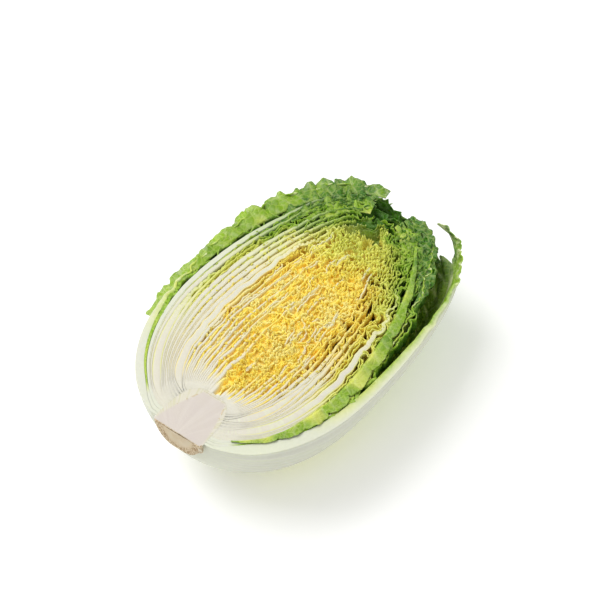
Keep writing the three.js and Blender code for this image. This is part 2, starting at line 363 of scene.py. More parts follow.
@dataclass(frozen=True)
class CrinkleField:
    """Crinkles as a chain of shears that bend all leaves together, so that neighbours stay clear.

    Each shear moves a point across its own direction by a sine of the distance along that direction, so one
    shear alone never folds space over. Lengths fall from the first shear to the last.
    """

    seed: int
    longest: float
    shortest: float
    rounds: int
    strain: float
    flatness: float = 0.35
    uneven: float = 0.12
    golden_angle: float = 2.399
    stray_angle: float = 0.3
    upward: float = 0.6

    def bend(self, points: Array, share: Array, lift: Array | float = 0.0) -> Array:
        """Moves points by the shears.

        Args:
            points: (..., 3) points in the head's frame.
            share: how much of the crinkle each point takes, 0 to 1.
            lift: how much of it goes up and down, 0 at the cut face.

        Returns:
            The moved points.
        """
        rng = np.random.default_rng(self.seed)
        moved = points.copy()
        for i in range(self.rounds):
            length = self.longest * (self.shortest / self.longest) ** (i / max(1, self.rounds - 1))
            length *= rng.uniform(1.0 - self.uneven, 1.0 + self.uneven)
            heading = i * self.golden_angle + rng.uniform(-self.stray_angle, self.stray_angle)
            along = np.array([math.cos(heading), math.sin(heading), rng.uniform(-1, 1) * self.flatness])
            across = np.array([-math.sin(heading), math.cos(heading), 0.0])
            phase = rng.uniform(0.0, 2.0 * math.pi)
            size = self.strain * length / (2.0 * math.pi)
            swing = size * share * np.sin(2.0 * math.pi / length * (moved @ along) + phase)
            moved = moved + swing[..., None] * across
            moved[..., 2] = moved[..., 2] + lift * self.upward * swing
        return moved


@dataclass
class Surface:
    """Points, quads and the values that the finishes read, before they become a mesh."""

    points: Array
    quads: Array
    flat: Array
    values: dict[str, Array]
    uv: Array

    @staticmethod
    def joined(parts: list["Surface"]) -> "Surface":
        """Several surfaces that carry the same values as one."""
        starts = np.cumsum([0] + [len(part.points) for part in parts[:-1]])
        return Surface(
            np.concatenate([part.points for part in parts]),
            np.concatenate([part.quads + start for part, start in zip(parts, starts)]),
            np.concatenate([part.flat for part in parts]),
            {key: np.concatenate([part.values[key] for part in parts]) for key in parts[0].values},
            np.concatenate([part.uv for part in parts]),
        )

    def outward(self) -> "Surface":
        """Turns the faces out, told by the sign of the volume that the surface encloses.

        Returns:
            The same surface.
        """
        a, b, c, d = (self.points[self.quads[:, k]] for k in range(4))
        volume = sum(np.einsum("ij,ij->i", a, np.cross(*pair)).sum() for pair in ((b, c), (c, d)))
        if volume < 0.0:
            self.quads = self.quads[:, ::-1].copy()
        return self


def grid_quads(rows: int, columns: int) -> Array:
    """Quads of a grid whose point (i, j) has the number i * columns + j.

    Args:
        rows: points along the first direction.
        columns: points along the second.

    Returns:
        (faces, 4) point numbers.
    """
    i, j = np.meshgrid(np.arange(rows - 1), np.arange(columns - 1), indexing="ij")
    a = (i * columns + j).ravel()
    return np.stack([a, a + columns, a + columns + 1, a + 1], axis=1)


def weld(points: Array, quads: Array) -> tuple[Array, Array, Array]:
    """Makes points that meet one, so that seams and poles close.

    Points are told apart on a fine lattice, and each face drops the corners that fall on the one before.

    Args:
        points: (n, 3) millimetres.
        quads: (m, 4) point numbers.

    Returns:
        Which points are kept, the new number of every old point, and (m, 4) truth of which corners are kept.
    """
    lattice = np.round(points / WELD_DISTANCE).astype(np.int64)
    _, kept, number = np.unique(lattice, axis=0, return_index=True, return_inverse=True)
    number = number.ravel()
    corners = number[quads]
    stays = corners != np.roll(corners, 1, axis=1)
    return kept, number, stays & (stays.sum(axis=1, keepdims=True) > 2)


def sheet_normal(middle: Array) -> Array:
    """Normals of a grid: the cross product of its two directions, kept level near the cut face.

    Args:
        middle: (rows, columns, 3) points in millimetres.

    Returns:
        (rows, columns, 3) unit normals.
    """
    normal = np.cross(np.gradient(middle, axis=0), np.gradient(middle, axis=1))
    normal[..., 2] *= smooth(-middle[..., 2], *LEVEL_DEPTH)
    return unit(normal)


def closed_ring(rows: int, columns: int) -> Array:
    """Quads that join the border of a grid to that of the grid whose points follow it.

    Args:
        rows: points along the first direction.
        columns: points along the second.

    Returns:
        (faces, 4) point numbers.
    """
    size = rows * columns
    index = np.arange(size).reshape(rows, columns)
    ring = np.concatenate([index[:, 0], index[-1, 1:], index[-2::-1, -1], index[0, -2:0:-1]])
    following = np.roll(ring, -1)
    return np.stack([ring, ring + size, following + size, following], axis=1)


def closed_sheet(
    middle: Array, thick: Array, values: dict[str, Array], uv: Array,
    within: dict[str, Array] | None = None,
) -> Surface:
    """A sheet of some thickness about a grid of middle points, closed by a rim along its four sides.

    The two faces stand half the thickness off the middle along its normal, which is the cross product of the
    grid's two directions. Near the cut face the normal is kept level, so that the cut stays a plane.

    Args:
        middle: (rows, columns, 3) points in millimetres.
        thick: (rows, columns) millimetres.
        values: named (rows, columns) values for the finish.
        uv: (rows, columns, 2) coordinates in millimetres along and across the leaf.
        within: values that differ on the inner face.

    Returns:
        The closed surface.
    """
    rows, columns = thick.shape
    half = sheet_normal(middle) * thick[..., None] / 2.0
    points = np.concatenate([(middle + half).reshape(-1, 3), (middle - half).reshape(-1, 3)])
    size = rows * columns
    face = grid_quads(rows, columns)
    quads = np.concatenate([face, face[:, ::-1] + size, closed_ring(rows, columns)])
    flat = np.zeros(len(quads), bool)
    flat[2 * len(face):] = True
    inner = {**values, **(within or {})}
    both = {key: np.concatenate([value.ravel(), inner[key].ravel()]) for key, value in values.items()}
    both["inside"] = np.concatenate([np.zeros(size), np.ones(size)])
    flat_uv = uv.reshape(-1, 2)
    return Surface(points, quads, flat, both, np.concatenate([flat_uv, flat_uv]))


@dataclass(frozen=True)
class HeadFrame:
    """Where the head's own frame lies among the solids, read from the stem's box."""

    origin: Several
    counted: list[int] = field(default_factory=list)

    @staticmethod
    def from_stem() -> "HeadFrame":
        """The stem's cut base, the middle of its width and its cut face give the head's origin."""
        low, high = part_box("stem")
        return HeadFrame((low.x, (low.y + high.y) / 2.0, high.z))

    def piece(
        self, name: str, parts: list[Surface], slot: Slot, nodes: tuple[str, ...], material: Material
    ) -> None:
        """Joins closed surfaces into a mesh in metres in the frame of the solids and ties it to them.

        Args:
            name: the piece's name.
            parts: its surfaces in the head's frame, in millimetres.
            slot: the record's material slot; not used.
            nodes: the solids that it stands for.
            material: its finish.
        """
        surface = Surface.joined([part.outward() for part in parts])
        kept, number, stays = weld(surface.points, surface.quads)
        points = surface.points[kept] * METRES + np.array(self.origin)
        points[:, 2] = np.maximum(points[:, 2], 0.0)
        corners = surface.quads[stays]
        sides = stays.sum(axis=1)
        faces = sides > 0
        starts = np.cumsum(sides[faces]) - sides[faces]
        mesh = bpy.data.meshes.new(name)
        mesh.vertices.add(len(points))
        mesh.vertices.foreach_set("co", points.astype(np.float32).ravel())
        mesh.loops.add(len(corners))
        mesh.loops.foreach_set("vertex_index", number[corners].astype(np.int32))
        mesh.polygons.add(len(starts))
        mesh.polygons.foreach_set("loop_start", starts.astype(np.int32))
        mesh.update(calc_edges=True)
        mesh.polygons.foreach_set("use_smooth", ~surface.flat[faces])
        for key, value in surface.values.items():
            data = mesh.attributes.new(key, "FLOAT", "POINT").data
            data.foreach_set("value", value[kept].astype(np.float32))
        layer = mesh.uv_layers.new(name="UVMap")
        layer.data.foreach_set("uv", (surface.uv[corners] * UV_SCALE).astype(np.float32).ravel())
        mesh.validate()
        mesh.materials.append(material)
        made = bpy.data.objects.new(name, mesh)
        bpy.context.scene.collection.objects.link(made)
        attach(made, BODY)
        if nodes:
            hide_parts(*nodes)
        triangles = int((sides[faces] - 2).sum())
        LOG.info("%s: %d triangles", name, triangles)
        self.counted.append(triangles)


class Graph:
    """Adds and links the nodes of one material or node group."""

    def __init__(self, tree: bpy.types.NodeTree) -> None:
        """Keeps the tree that the nodes go into."""
        self.tree = tree

    def add(self, kind: str, inputs: dict | None = None, **settings: object) -> bpy.types.Node:
        """Adds a node.

        Args:
            kind: the node's type, without its ShaderNode prefix.
            inputs: socket names or numbers with the value or the socket that each takes.
            settings: the node's own properties.

        Returns:
            The new node.
        """
        node = self.tree.nodes.new("ShaderNode" + kind)
        for key, value in settings.items():
            setattr(node, key, value)
        for key, value in (inputs or {}).items():
            if isinstance(value, Socket):
                self.tree.links.new(value, node.inputs[key])
            else:
                node.inputs[key].default_value = value
        return node

    def blend(self, share: Socket, a: Socket | Colour, b: Socket | Colour, kind: str = "MIX") -> Socket:
        """Mixes two colours, each a socket or its red, green and blue, by a share."""
        first, second = (colour if isinstance(colour, Socket) else (*colour, 1.0) for colour in (a, b))
        return self.add("Mix", {0: share, 6: first, 7: second}, data_type="RGBA", blend_type=kind).outputs[2]

    def math(self, operation: str, *values: object) -> Socket:
        """One arithmetic step, clamped to nothing."""
        return self.add("Math", dict(enumerate(values)), operation=operation).outputs[0]

    def step(self, value: Socket, low: float, high: float, start: float = 0.0, end: float = 1.0) -> Socket:
        """Goes smoothly from start to end as value goes from low to high."""
        given = {0: value, 1: low, 2: high, 3: start, 4: end}
        return self.add("MapRange", given, interpolation_type="SMOOTHSTEP").outputs[0]

    def value(self, name: str) -> Socket:
        """A value that the piece's points carry."""
        return self.add("Attribute", attribute_name=name, attribute_type="GEOMETRY").outputs["Fac"]

    def noise(self, vector: Socket, scale: float, detail: float = 3.0) -> Socket:
        """Soft noise from 0 to 1."""
        return self.add("TexNoise", {"Vector": vector, "Scale": scale, "Detail": detail}).outputs[0]

    def stretched(self, vector: Socket, scale: Several) -> Socket:
        """Coordinates with their axes scaled."""
        return self.add("Mapping", {"Vector": vector, "Scale": scale}).outputs[0]


def group(
    name: str, inputs: dict[str, tuple], outputs: dict[str, str]
) -> tuple[Graph, bpy.types.Node, bpy.types.Node]:
    """Starts a shader node group.

    Args:
        name: its name.
        inputs: socket names with their kind and default.
        outputs: socket names with their kind.

    Returns:
        Its graph, its input node and its output node.
    """
    tree = bpy.data.node_groups.new(name, "ShaderNodeTree")
    for key, (kind, default) in inputs.items():
        socket = tree.interface.new_socket(key, in_out="INPUT", socket_type="NodeSocket" + kind)
        if default is not None:
            socket.default_value = default
    for key, kind in outputs.items():
        tree.interface.new_socket(key, in_out="OUTPUT", socket_type="NodeSocket" + kind)
    graph = Graph(tree)
    return graph, tree.nodes.new("NodeGroupInput"), tree.nodes.new("NodeGroupOutput")


@dataclass
class Effects:
    """The node groups that several finishes share, each built once."""

    fibre_stretch: float = 0.03
    warp_scale: float = 160.0
    warp: float = 0.004
    cell_top: float = 0.35
    net_edge: Pair = (0.02, 0.12)
    fibre: bpy.types.NodeTree = field(init=False)
    skin: bpy.types.NodeTree = field(init=False)

    def __post_init__(self) -> None:
        """Builds the groups."""
        self.fibre = self._fibre()
        self.skin = self._skin()

    def _fibre(self) -> bpy.types.NodeTree:
        """Fine lines along a rib: noise on the leaf's own map, drawn out along the run.

        Returns:
            The group's tree.
        """
        graph, given, result = group(
            "fibre_lines", {"Map": ("Vector", None), "Fineness": ("Float", 60.0)}, {"Mask": "Float"}
        )
        drawn = graph.stretched(given.outputs["Map"], (self.fibre_stretch, 1.0, 1.0))
        lines = graph.add("TexNoise", {"Vector": drawn, "Scale": given.outputs["Fineness"], "Detail": 3.0})
        graph.tree.links.new(lines.outputs[0], result.inputs["Mask"])
        return graph.tree

    def _skin(self) -> bpy.types.NodeTree:
        """Puckered blade: cells about a fine net of veins, as a height and as a mask of the net.

        Returns:
            The group's tree.
        """
        graph, given, result = group(
            "puckered_skin",
            {"Place": ("Vector", None), "Cells": ("Float", 300.0)},
            {"Height": "Float", "Net": "Float"},
        )
        rough = graph.noise(given.outputs["Place"], self.warp_scale, 2.0)
        shifted = graph.add("VectorMath", {0: given.outputs["Place"]}, operation="ADD")
        scaled = graph.add("VectorMath", {0: rough, 3: self.warp}, operation="SCALE")
        graph.tree.links.new(scaled.outputs[0], shifted.inputs[1])
        cells = graph.add(
            "TexVoronoi", {"Vector": shifted.outputs[0], "Scale": given.outputs["Cells"]},
            feature="DISTANCE_TO_EDGE",
        ).outputs[0]
        height = graph.step(cells, 0.0, self.cell_top)
        net = graph.step(cells, *self.net_edge, 1.0, 0.0)
        graph.tree.links.new(height, result.inputs["Height"])
        graph.tree.links.new(net, result.inputs["Net"])
        return graph.tree


def new_material(name: str) -> tuple[Material, Graph]:
    """Starts a material with an empty tree.

    Args:
        name: its name.

    Returns:
        The material and the graph of its tree.
    """
    made = bpy.data.materials.new(name)
    made.use_nodes = True
    made.node_tree.nodes.clear()
    return made, Graph(made.node_tree)


@dataclass(frozen=True)
class LeafFinish:
    """Satin leaf: white rib, and a blade that goes from yellow in the heart to green outside and at tips.

    A step is given as the values where it starts and ends, and where it needs them the two results.
    """

    name: str
    rib: Colour = (0.64, 0.605, 0.51)
    rib_streak: Colour = (0.70, 0.76, 0.50)
    blade_heart: Colour = (0.96, 0.74, 0.10)
    blade_pale: Colour = (0.74, 0.76, 0.14)
    blade_green: Colour = (0.22, 0.40, 0.012)
    # dark green of the outermost blades, also the colour of the painted shade between green blades
    blade_dark_and_shade: Colour = (0.045, 0.165, 0.004)
    # painted shade: warm tint of the heart's creases and of the slits between white ribs
    crease_shade_colour: Colour = (0.93, 0.64, 0.10)
    lemon: Colour = (0.93, 0.80, 0.27)
    amber: Colour = (0.97, 0.62, 0.035)
    fleck: Colour = (1.0, 0.90, 0.42)
    net: Colour = (0.74, 0.80, 0.20)
    vein: Colour = (0.74, 0.80, 0.42)
    speck: Colour = (1.0, 1.0, 0.86)
    roughness: float = 0.42
    rough_range: Pair = (-0.06, 0.08)
    shine: float = 0.20
    line: float = 0.62
    glow: float = 0.24
    glow_radius: Colour = (0.0024, 0.0023, 0.0017)
    # painted glow: the leaf gives off its own colour as light, standing in for light shining through it
    painted_glow: float = 0.0
    skin_height: float = 0.0006
    skin_strength: float = 0.8
    mottle_scale: float = 55.0
    fine_scale: float = 380.0
    patch_scale: float = 38.0
    flake_scale: float = 150.0
    cell_scale: float = 190.0
    fibre_scale: float = 26.0
    mottling: float = 0.34
    pale_step: Step = (0.08, 0.42)
    green_step: Step = (0.38, 0.74)
    dark_step: Step = (0.74, 1.08)
    heart_step: Step = (0.30, 0.05)
    lemon_step: Step = (0.47, 0.60, 0.0, 0.85)
    amber_step: Step = (0.46, 0.34, 0.0, 0.35)
    fleck_step: Step = (0.46, 0.64, 0.0, 0.4)
    speck_step: Step = (0.35, 0.7, 0.0, 0.06)
    streak_step: Step = (0.38, 0.68, 0.0, 0.35)
    line_step: Step = (0.32, 0.48)
    rounded_step: Step = (0.18, 0.5, 1.0, 0.0)
    seam_step: Step = (0.02, 0.30)
    # steps of the painted shade in creases and between green blades, by depth below the cut face
    crease_shade_step: Step = (0.5, 5.0)
    crease_shade_green_step: Step = (0.75, 0.25)
    crease_shade_rib_step: Step = (0.2, 0.9, 0.7, 0.8)
    sunk_shade_step: Step = (0.6, 5.0, 0.0, 0.85)
    sunk_shade_green_step: Step = (0.42, 0.72)
    net_share: float = 0.16
    vein_share: float = 0.85

    def blade(self, g: Graph, place: Socket, green: Socket, mottle: Socket) -> Socket:
        """The blade's colour: four in turn as it gets greener, with lemon and amber patches in the heart.

        Args:
            g: the graph.
            place: where the point is.
            green: how green it is.
            mottle: soft noise that shifts how green it is.

        Returns:
            The colour.
        """
        toned = g.math("ADD", green, g.math("MULTIPLY", g.math("SUBTRACT", mottle, 0.5), self.mottling))
        colour = g.blend(g.step(toned, *self.pale_step), self.blade_heart, self.blade_pale)
        colour = g.blend(g.step(toned, *self.green_step), colour, self.blade_green)
        colour = g.blend(g.step(toned, *self.dark_step), colour, self.blade_dark_and_shade)
        in_heart = g.step(green, *self.heart_step)
        patches = (g.noise(place, scale, 2.0) for scale in (self.patch_scale, self.flake_scale))
        pale = g.math("ADD", *(g.math("MULTIPLY", patch, 0.5) for patch in patches))
        for step, patch_colour in ((self.lemon_step, self.lemon), (self.amber_step, self.amber)):
            colour = g.blend(g.math("MULTIPLY", g.step(pale, *step), in_heart), colour, patch_colour)
        return colour

    def shaded(self, g: Graph, colour: Socket, rib: Socket, green: Socket) -> Socket:
        """Painted shade: a colour made warmer in the heart's creases and darker between green blades, below
        the cut face, where shade falls.

        Args:
            g: the graph.
            colour: the colour on the cut face.
            rib: 1 on rib.
            green: how green the blade is.

        Returns:
            The colour.
        """
        # painted shade that grows with depth below the cut: warm in the heart's creases and slits, dark
        # green between green blades
        depth = g.value("depth")
        in_yellow = g.step(green, *self.crease_shade_green_step)
        crease_shade = g.math("MULTIPLY", g.step(depth, *self.crease_shade_step), in_yellow)
        warm_shade = g.math("MULTIPLY", crease_shade, g.step(rib, *self.crease_shade_rib_step))
        sunk = g.math("MULTIPLY", g.step(depth, *self.sunk_shade_step), g.step(green, *self.sunk_shade_green_step))
        return g.blend(sunk, g.blend(warm_shade, colour, self.crease_shade_colour), self.blade_dark_and_shade)

    def material(self, effects: Effects) -> Material:
        """Builds the material.

        Args:
            effects: the shared node groups.

        Returns:
            The material.
        """
        made, g = new_material(self.name)
        place = g.add("TexCoord").outputs["Object"]
        uv = g.add("UVMap", uv_map="UVMap").outputs[0]
        rib, green, seam = (g.value(key) for key in ("rib", "green", "seam"))
        mottle = g.noise(place, self.mottle_scale)
        fine = g.noise(place, self.fine_scale, 4.0)
        blade = self.blade(g, place, green, mottle)
        skin = g.add("Group", {"Place": place, "Cells": self.cell_scale}, node_tree=effects.skin)
        fibre = g.add("Group", {"Map": uv, "Fineness": self.fibre_scale}, node_tree=effects.fibre)
        streak = fibre.outputs["Mask"]
        flecked = g.blend(g.step(fine, *self.fleck_step), blade, self.fleck, "MULTIPLY")
        netted = g.blend(g.math("MULTIPLY", skin.outputs["Net"], self.net_share), flecked, self.net)
        veined = g.blend(g.math("MULTIPLY", g.value("vein"), self.vein_share), netted, self.vein)
        pale_rib = g.blend(g.step(streak, *self.streak_step), self.rib, self.rib_streak)
        from_middle = g.math("ABSOLUTE", g.math("SUBTRACT", g.value("inside"), 0.5))
        line = g.math("MULTIPLY", g.step(from_middle, *self.line_step), g.math("MULTIPLY", seam, self.line))
        rounded = g.math("MULTIPLY", g.step(from_middle, *self.rounded_step), self.line)
        rounded = g.math("MULTIPLY", rounded, g.step(seam, *self.seam_step))
        coloured = g.blend(g.math("MULTIPLY", rib, g.math("SUBTRACT", 1.0, line)), veined, pale_rib)
        colour = g.blend(g.step(fine, *self.speck_step), self.shaded(g, coloured, rib, green), self.speck)
        height = g.math("MULTIPLY", skin.outputs["Height"], g.math("SUBTRACT", 1.0, rib))
        lines = g.math("MULTIPLY", streak, g.math("MULTIPLY", rib, 0.5))
        relief = g.math("ADD", g.math("ADD", height, lines), rounded)
        bump = {"Height": relief, "Distance": self.skin_height, "Strength": self.skin_strength}
        rough = g.step(mottle, 0.3, 0.7, *(self.roughness + past for past in self.rough_range))
        shader = g.add("BsdfPrincipled", {
            "Base Color": colour,
            "Roughness": rough,
            "Normal": g.add("Bump", bump).outputs[0],
            "Subsurface Weight": self.glow,
            "Subsurface Radius": self.glow_radius,
            "Subsurface Scale": 1.0,
            "Specular IOR Level": self.shine,
            # painted glow: emission of the leaf's own colour
            "Emission Color": colour,
            "Emission Strength": self.painted_glow,
        })
        g.add("OutputMaterial", {"Surface": shader.outputs[0]})
        return made


@dataclass(frozen=True)
class FleshFinish:
    """Cut stem: moist pale flesh, faintly lilac, with a dry tan rim at the cut base."""

    name: str = "stem_flesh"
    flesh: Colour = (0.57, 0.51, 0.46)
    cream: Colour = (0.60, 0.545, 0.47)
    flesh_streak: Colour = (0.68, 0.63, 0.57)
    leaf: Colour = (0.645, 0.61, 0.50)
    leaf_ray: Colour = (0.56, 0.54, 0.33)
    tan: Colour = (0.64, 0.52, 0.34)
    brown: Colour = (0.30, 0.17, 0.06)
    mottle_scale: float = 120.0
    spot_scale: float = 700.0
    streak_scale: float = 18.0
    ray_scale: float = 75.0
    dry_mottling: float = 0.55
    cream_step: Step = (0.3, 0.7, 0.0, 0.45)
    streak_step: Step = (0.4, 0.7, 0.0, 0.3)
    ray_step: Step = (0.47, 0.60, 0.0, 0.6)
    tan_step: Step = (0.35, 0.8)
    brown_step: Step = (0.7, 1.1)
    spot_step: Step = (0.45, 0.62)
    pit_step: Step = (0.2, 0.9, 0.12, 1.0)
    rough_step: Step = (0.2, 0.8, 0.38, 0.75)
    pit_depth: float = 0.0007
    glow: float = 0.2
    glow_radius: Colour = (0.003, 0.003, 0.0025)

    def material(self, effects: Effects) -> Material:
        """Builds the material.

        Args:
            effects: the shared node groups.

        Returns:
            The material.
        """
        made, g = new_material(self.name)
        place = g.add("TexCoord").outputs["Object"]
        uv = g.add("UVMap", uv_map="UVMap").outputs[0]
        mottle = g.noise(place, self.mottle_scale, 4.0)
        spots = g.noise(place, self.spot_scale, 3.0)
        streak, rays = (
            g.add("Group", {"Map": uv, "Fineness": scale}, node_tree=effects.fibre).outputs["Mask"]
            for scale in (self.streak_scale, self.ray_scale)
        )
        flesh = g.blend(g.step(mottle, *self.cream_step), self.flesh, self.cream)
        flesh = g.blend(g.step(streak, *self.streak_step), flesh, self.flesh_streak)
        fan = g.blend(g.step(rays, *self.ray_step), self.leaf, self.leaf_ray)
        lined = g.blend(g.value("section"), fan, flesh)
        shift = g.math("MULTIPLY", g.math("SUBTRACT", mottle, 0.5), self.dry_mottling)
        dry = g.math("ADD", g.value("dry"), shift)
        tanned = g.blend(g.step(dry, *self.tan_step), lined, self.tan)
        spotted = g.math("MULTIPLY", g.step(dry, *self.brown_step), g.step(spots, *self.spot_step))
        pits = g.math("MULTIPLY", spots, g.step(dry, *self.pit_step))
        shader = g.add("BsdfPrincipled", {
            "Base Color": g.blend(spotted, tanned, self.brown),
            "Roughness": g.step(dry, *self.rough_step),
            "Normal": g.add("Bump", {"Height": pits, "Distance": self.pit_depth}).outputs[0],
            "Subsurface Weight": self.glow,
            "Subsurface Radius": self.glow_radius,
            "Subsurface Scale": 1.0,
        })
        g.add("OutputMaterial", {"Surface": shader.outputs[0]})
        return made


@dataclass(frozen=True)
class FloorFinish:
    """Plain pale matt floor."""

    name: str = "floor_pale"
    colour: Colour = (0.90, 0.90, 0.90)
    roughness: float = 0.9
    shine: float = 0.1
    glow: float = 0.20

    def material(self) -> Material:
        """Builds the material.

        Returns:
            The material.
        """
        made = bpy.data.materials.new(self.name)
        made.use_nodes = True
        wanted = {
            "Base Color": (*self.colour, 1.0),
            "Roughness": self.roughness,
            "Specular IOR Level": self.shine,
            "Emission Color": (1.0, 1.0, 1.0, 1.0),
            "Emission Strength": self.glow,
        }
        for key, value in wanted.items():
            made.node_tree.nodes["Principled BSDF"].inputs[key].default_value = value
        return made


def cut_rows(count: int, power: float = 2.1) -> Array:
    """Turns from 0 to 180 that crowd towards both cut edges: 90 times a power of the share, mirrored.

    Args:
        count: turns from 0 to 90.
        power: how strongly they crowd.

    Returns:
        The turns.
    """
    share = np.linspace(0.0, 1.0, count)
    quarter = 90.0 * share**power
    return np.concatenate([quarter, 180.0 - quarter[-2::-1]])


@dataclass(frozen=True)
class Frill:
    """A sheet's own small waves at its cut edge, which no neighbour shares.

    The lengths in millimetres are drawn between bounds: those of the wander, of the waves across the sheet,
    short ones and calm ones, and of the waves of its height, long ones and short ones.
    """

    size: float = 1.2
    depth: float = 4.5
    rise: float = 2.3
    rise_depth: float = 3.0
    rise_least: float = 0.3
    rise_most: float = 0.75
    wander: float = 1.7
    wave: Pair = (0.62, 0.38)
    rises: Several = (0.5, 0.25, 0.58)
    lengths: tuple[Pair, ...] = (
        (15.0, 22.0), (4.4, 6.0), (2.7, 3.5), (9.0, 14.0), (4.6, 7.5), (11.0, 19.0), (2.2, 3.0)
    )

    def added(self, points: Array, turns: Array, depth: Array, soft: Array, calm: Array, seed: int) -> Array:
        """Adds waves across the sheet, whose phase wanders, and waves of its height. Both fade with depth.

        Args:
            points: (rows, columns, 3) middle points, already bent.
            turns: radians along the sheet, for a wave of one millimetre.
            depth: the points' depths below the cut.
            soft: how much of the frills each takes.
            calm: how much less of the smallest ones each takes.
            seed: the sheet's own number.

        Returns:
            The frilled points.
        """
        rng = np.random.default_rng(seed)
        phase = rng.uniform(0.0, 2.0 * math.pi, 6)
        at = [turns / rng.uniform(*bounds) for bounds in self.lengths]
        wander = self.wander * np.sin(at[0] + phase[0])
        wave = self.wave[0] * np.sin(at[1] + wander + phase[1])
        wave = wave + self.wave[1] * np.sin(at[2] - wander + phase[2])
        wave = wave * (1.0 - calm) + calm * np.sin(at[3] + wander + phase[2])
        normal = sheet_normal(points)
        moved = points + normal * (self.size * soft * np.exp(-depth / self.depth) * wave)[..., None]
        rise = self.rises[0] * np.sin(at[4] + wander + phase[3])
        rise = rise + self.rises[1] * np.sin(at[5] + phase[4])
        rise = rise + self.rises[2] * (1.0 - calm) * np.sin(at[6] + 2.0 * wander + phase[5])
        risen = np.minimum(rise - self.rise_least, self.rise_most)
        moved[..., 2] = moved[..., 2] + self.rise * soft * np.exp(-depth / self.rise_depth) * risen
        return moved


@dataclass(frozen=True)
class LeafBuilder:
    """Builds the surfaces of leaves, folds and heart leaves, which all bend in the same crinkle fields.

    Pairs are the run, layer, depth or distance where something starts and where it is complete.
    """

    shape: HeadShape
    stack: LeafStack
    fine: CrinkleField = CrinkleField(seed=11, longest=24.0, shortest=5.0, rounds=9, strain=0.62)
    broad: CrinkleField = CrinkleField(seed=5, longest=60.0, shortest=17.0, rounds=6, strain=0.55)
    frill: Frill = Frill()
    steps: int = 440
    cut_turns: int = 8
    length: float = 285.0
    cut_zone: Pair = (8.4, 24.0)
    lift_depth: Pair = (3.0, 12.0)
    crinkle_start: Pair = (0.04, 0.30)
    crinkle_start_layer: Pair = (0.15, 0.95)
    crinkle_rise: float = 0.2
    outer_crinkle: float = 0.7
    outer_crinkle_layer: Pair = (0.5, 1.0)
    rib_crinkle: float = 0.10
    tip_run: Pair = (0.66, 0.96)
    broad_share: float = 0.9
    fine_tip_share: float = 0.72
    left_calm: float = 0.6
    left_calm_side: Pair = (0.0, 30.0)
    left_calm_layer: Pair = (0.36, 0.6)
    left_calm_end: Pair = (0.45, 0.8)
    outer_calm: float = 0.6
    outer_calm_layer: Pair = (0.5, 0.85)
    tip_calm: float = 0.8
    tip_calm_run: Pair = (0.70, 0.88)
    tip_calm_layer: Pair = (0.35, 0.6)
    green_outside: float = 0.60
    green_layer: Pair = (0.34, 1.0)
    green_run: Pair = (0.52, 0.98)
    green_tips: Pair = (0.50, 0.68)
    green_tips_layer: Pair = (0.2, 0.9)
    seam_run: Pair = (0.05, 0.20)
    root_sink: float = 2.2
    root_sink_run: float = 0.03
    rib_fade: Pair = (0.60, 0.84)
    rib_faded: float = 0.85
    thinned: float = 0.55
    root_white: Several = (0.34, 0.24, 0.42, 0.28, 0.38)
    firm_run: float = 0.26
    white_run: float = 0.14
    firmness: float = 0.9
    groove: float = 0.15
    wall_crowding: float = 1.5
    wall_lean: float = 0.8
    wall_least: float = 0.35
    wall_firmness: Several = (0.8, 0.72, 0.96)
    wall_taper: float = 0.75
    wall_thickest: float = 3.4
    wall_rib: Pair = (0.5, 0.9)
    wall_seam_run: Pair = (0.03, 0.14)

    def turns(self, run: Array) -> Array:
        """Radians along a leaf for a wave of one millimetre: two pi times the run times the length."""
        return 2.0 * math.pi * run * self.length

    def crinkle_share(self, layer: Array, run: Array) -> Array:
        """How crinkled the leaves are, 0 to 1: not at the roots, sooner in the heart than outside."""
        starts = mix(*self.crinkle_start, smooth(layer, *self.crinkle_start_layer))
        return smooth(run, starts, starts + self.crinkle_rise) * mix(
            1.0, self.outer_crinkle, smooth(layer, *self.outer_crinkle_layer)
        )

    def green(self, layer: Array, run: Array) -> Array:
        """How green a blade is: 0 in the heart, more with the layer outwards and towards the tips."""
        upward = smooth(run, *self.green_run) * mix(*self.green_tips, smooth(layer, *self.green_tips_layer))
        return smooth(layer, *self.green_layer) * self.green_outside + upward

    def bent(self, points: Array, layer: Array, run: Array, soft: Array) -> Array:
        """Middle points moved by the fine crinkle near the cut face and the broad one towards the tips.

        Args:
            points: (..., 3) smooth middle points.
            layer: their layers.
            run: their runs.
            soft: 1 on blade and 0 on rib.

        Returns:
            The crinkled points.
        """
        depth = -points[..., 2]
        near = 1.0 - smooth(depth, *self.cut_zone)
        lift = smooth(depth, *self.lift_depth)
        on_left = smooth(points[..., 1], *self.left_calm_side) * smooth(layer, *self.left_calm_layer)
        calm = self.left_calm * on_left * (1.0 - smooth(run, *self.left_calm_end))
        share = self.crinkle_share(layer, run) * mix(self.rib_crinkle, 1.0, soft) * (1.0 - calm)
        tips = smooth(run, *self.tip_run)
        bent = self.broad.bend(points, share * np.maximum(0.5 * near, tips) * self.broad_share, lift)
        return self.fine.bend(bent, share * near * mix(1.0, self.fine_tip_share, tips), lift)

    def calm(self, layer: Array, run: Array) -> Array:
        """How much the smallest frills die down: outside, and in all but the heart at the tips."""
        at_tips = self.tip_calm * smooth(run, *self.tip_calm_run) * smooth(layer, *self.tip_calm_layer)
        return np.maximum(self.outer_calm * smooth(layer, *self.outer_calm_layer), at_tips)

    def rooted(self, points: Array, run: Array) -> Array:
        """Sinks the roots some way into the stem, towards the middle of its height on the axis.

        Args:
            points: (..., 3) points of a leaf.
            run: their runs.

        Returns:
            The moved points.
        """
        middle = np.array([0.5 * self.shape.stem_height, 0.0, 0.0])
        towards = unit(middle - points)
        towards[..., 2] = 0.0
        return points + towards * (self.root_sink * (1.0 - smooth(run, 0.0, self.root_sink_run)))[..., None]

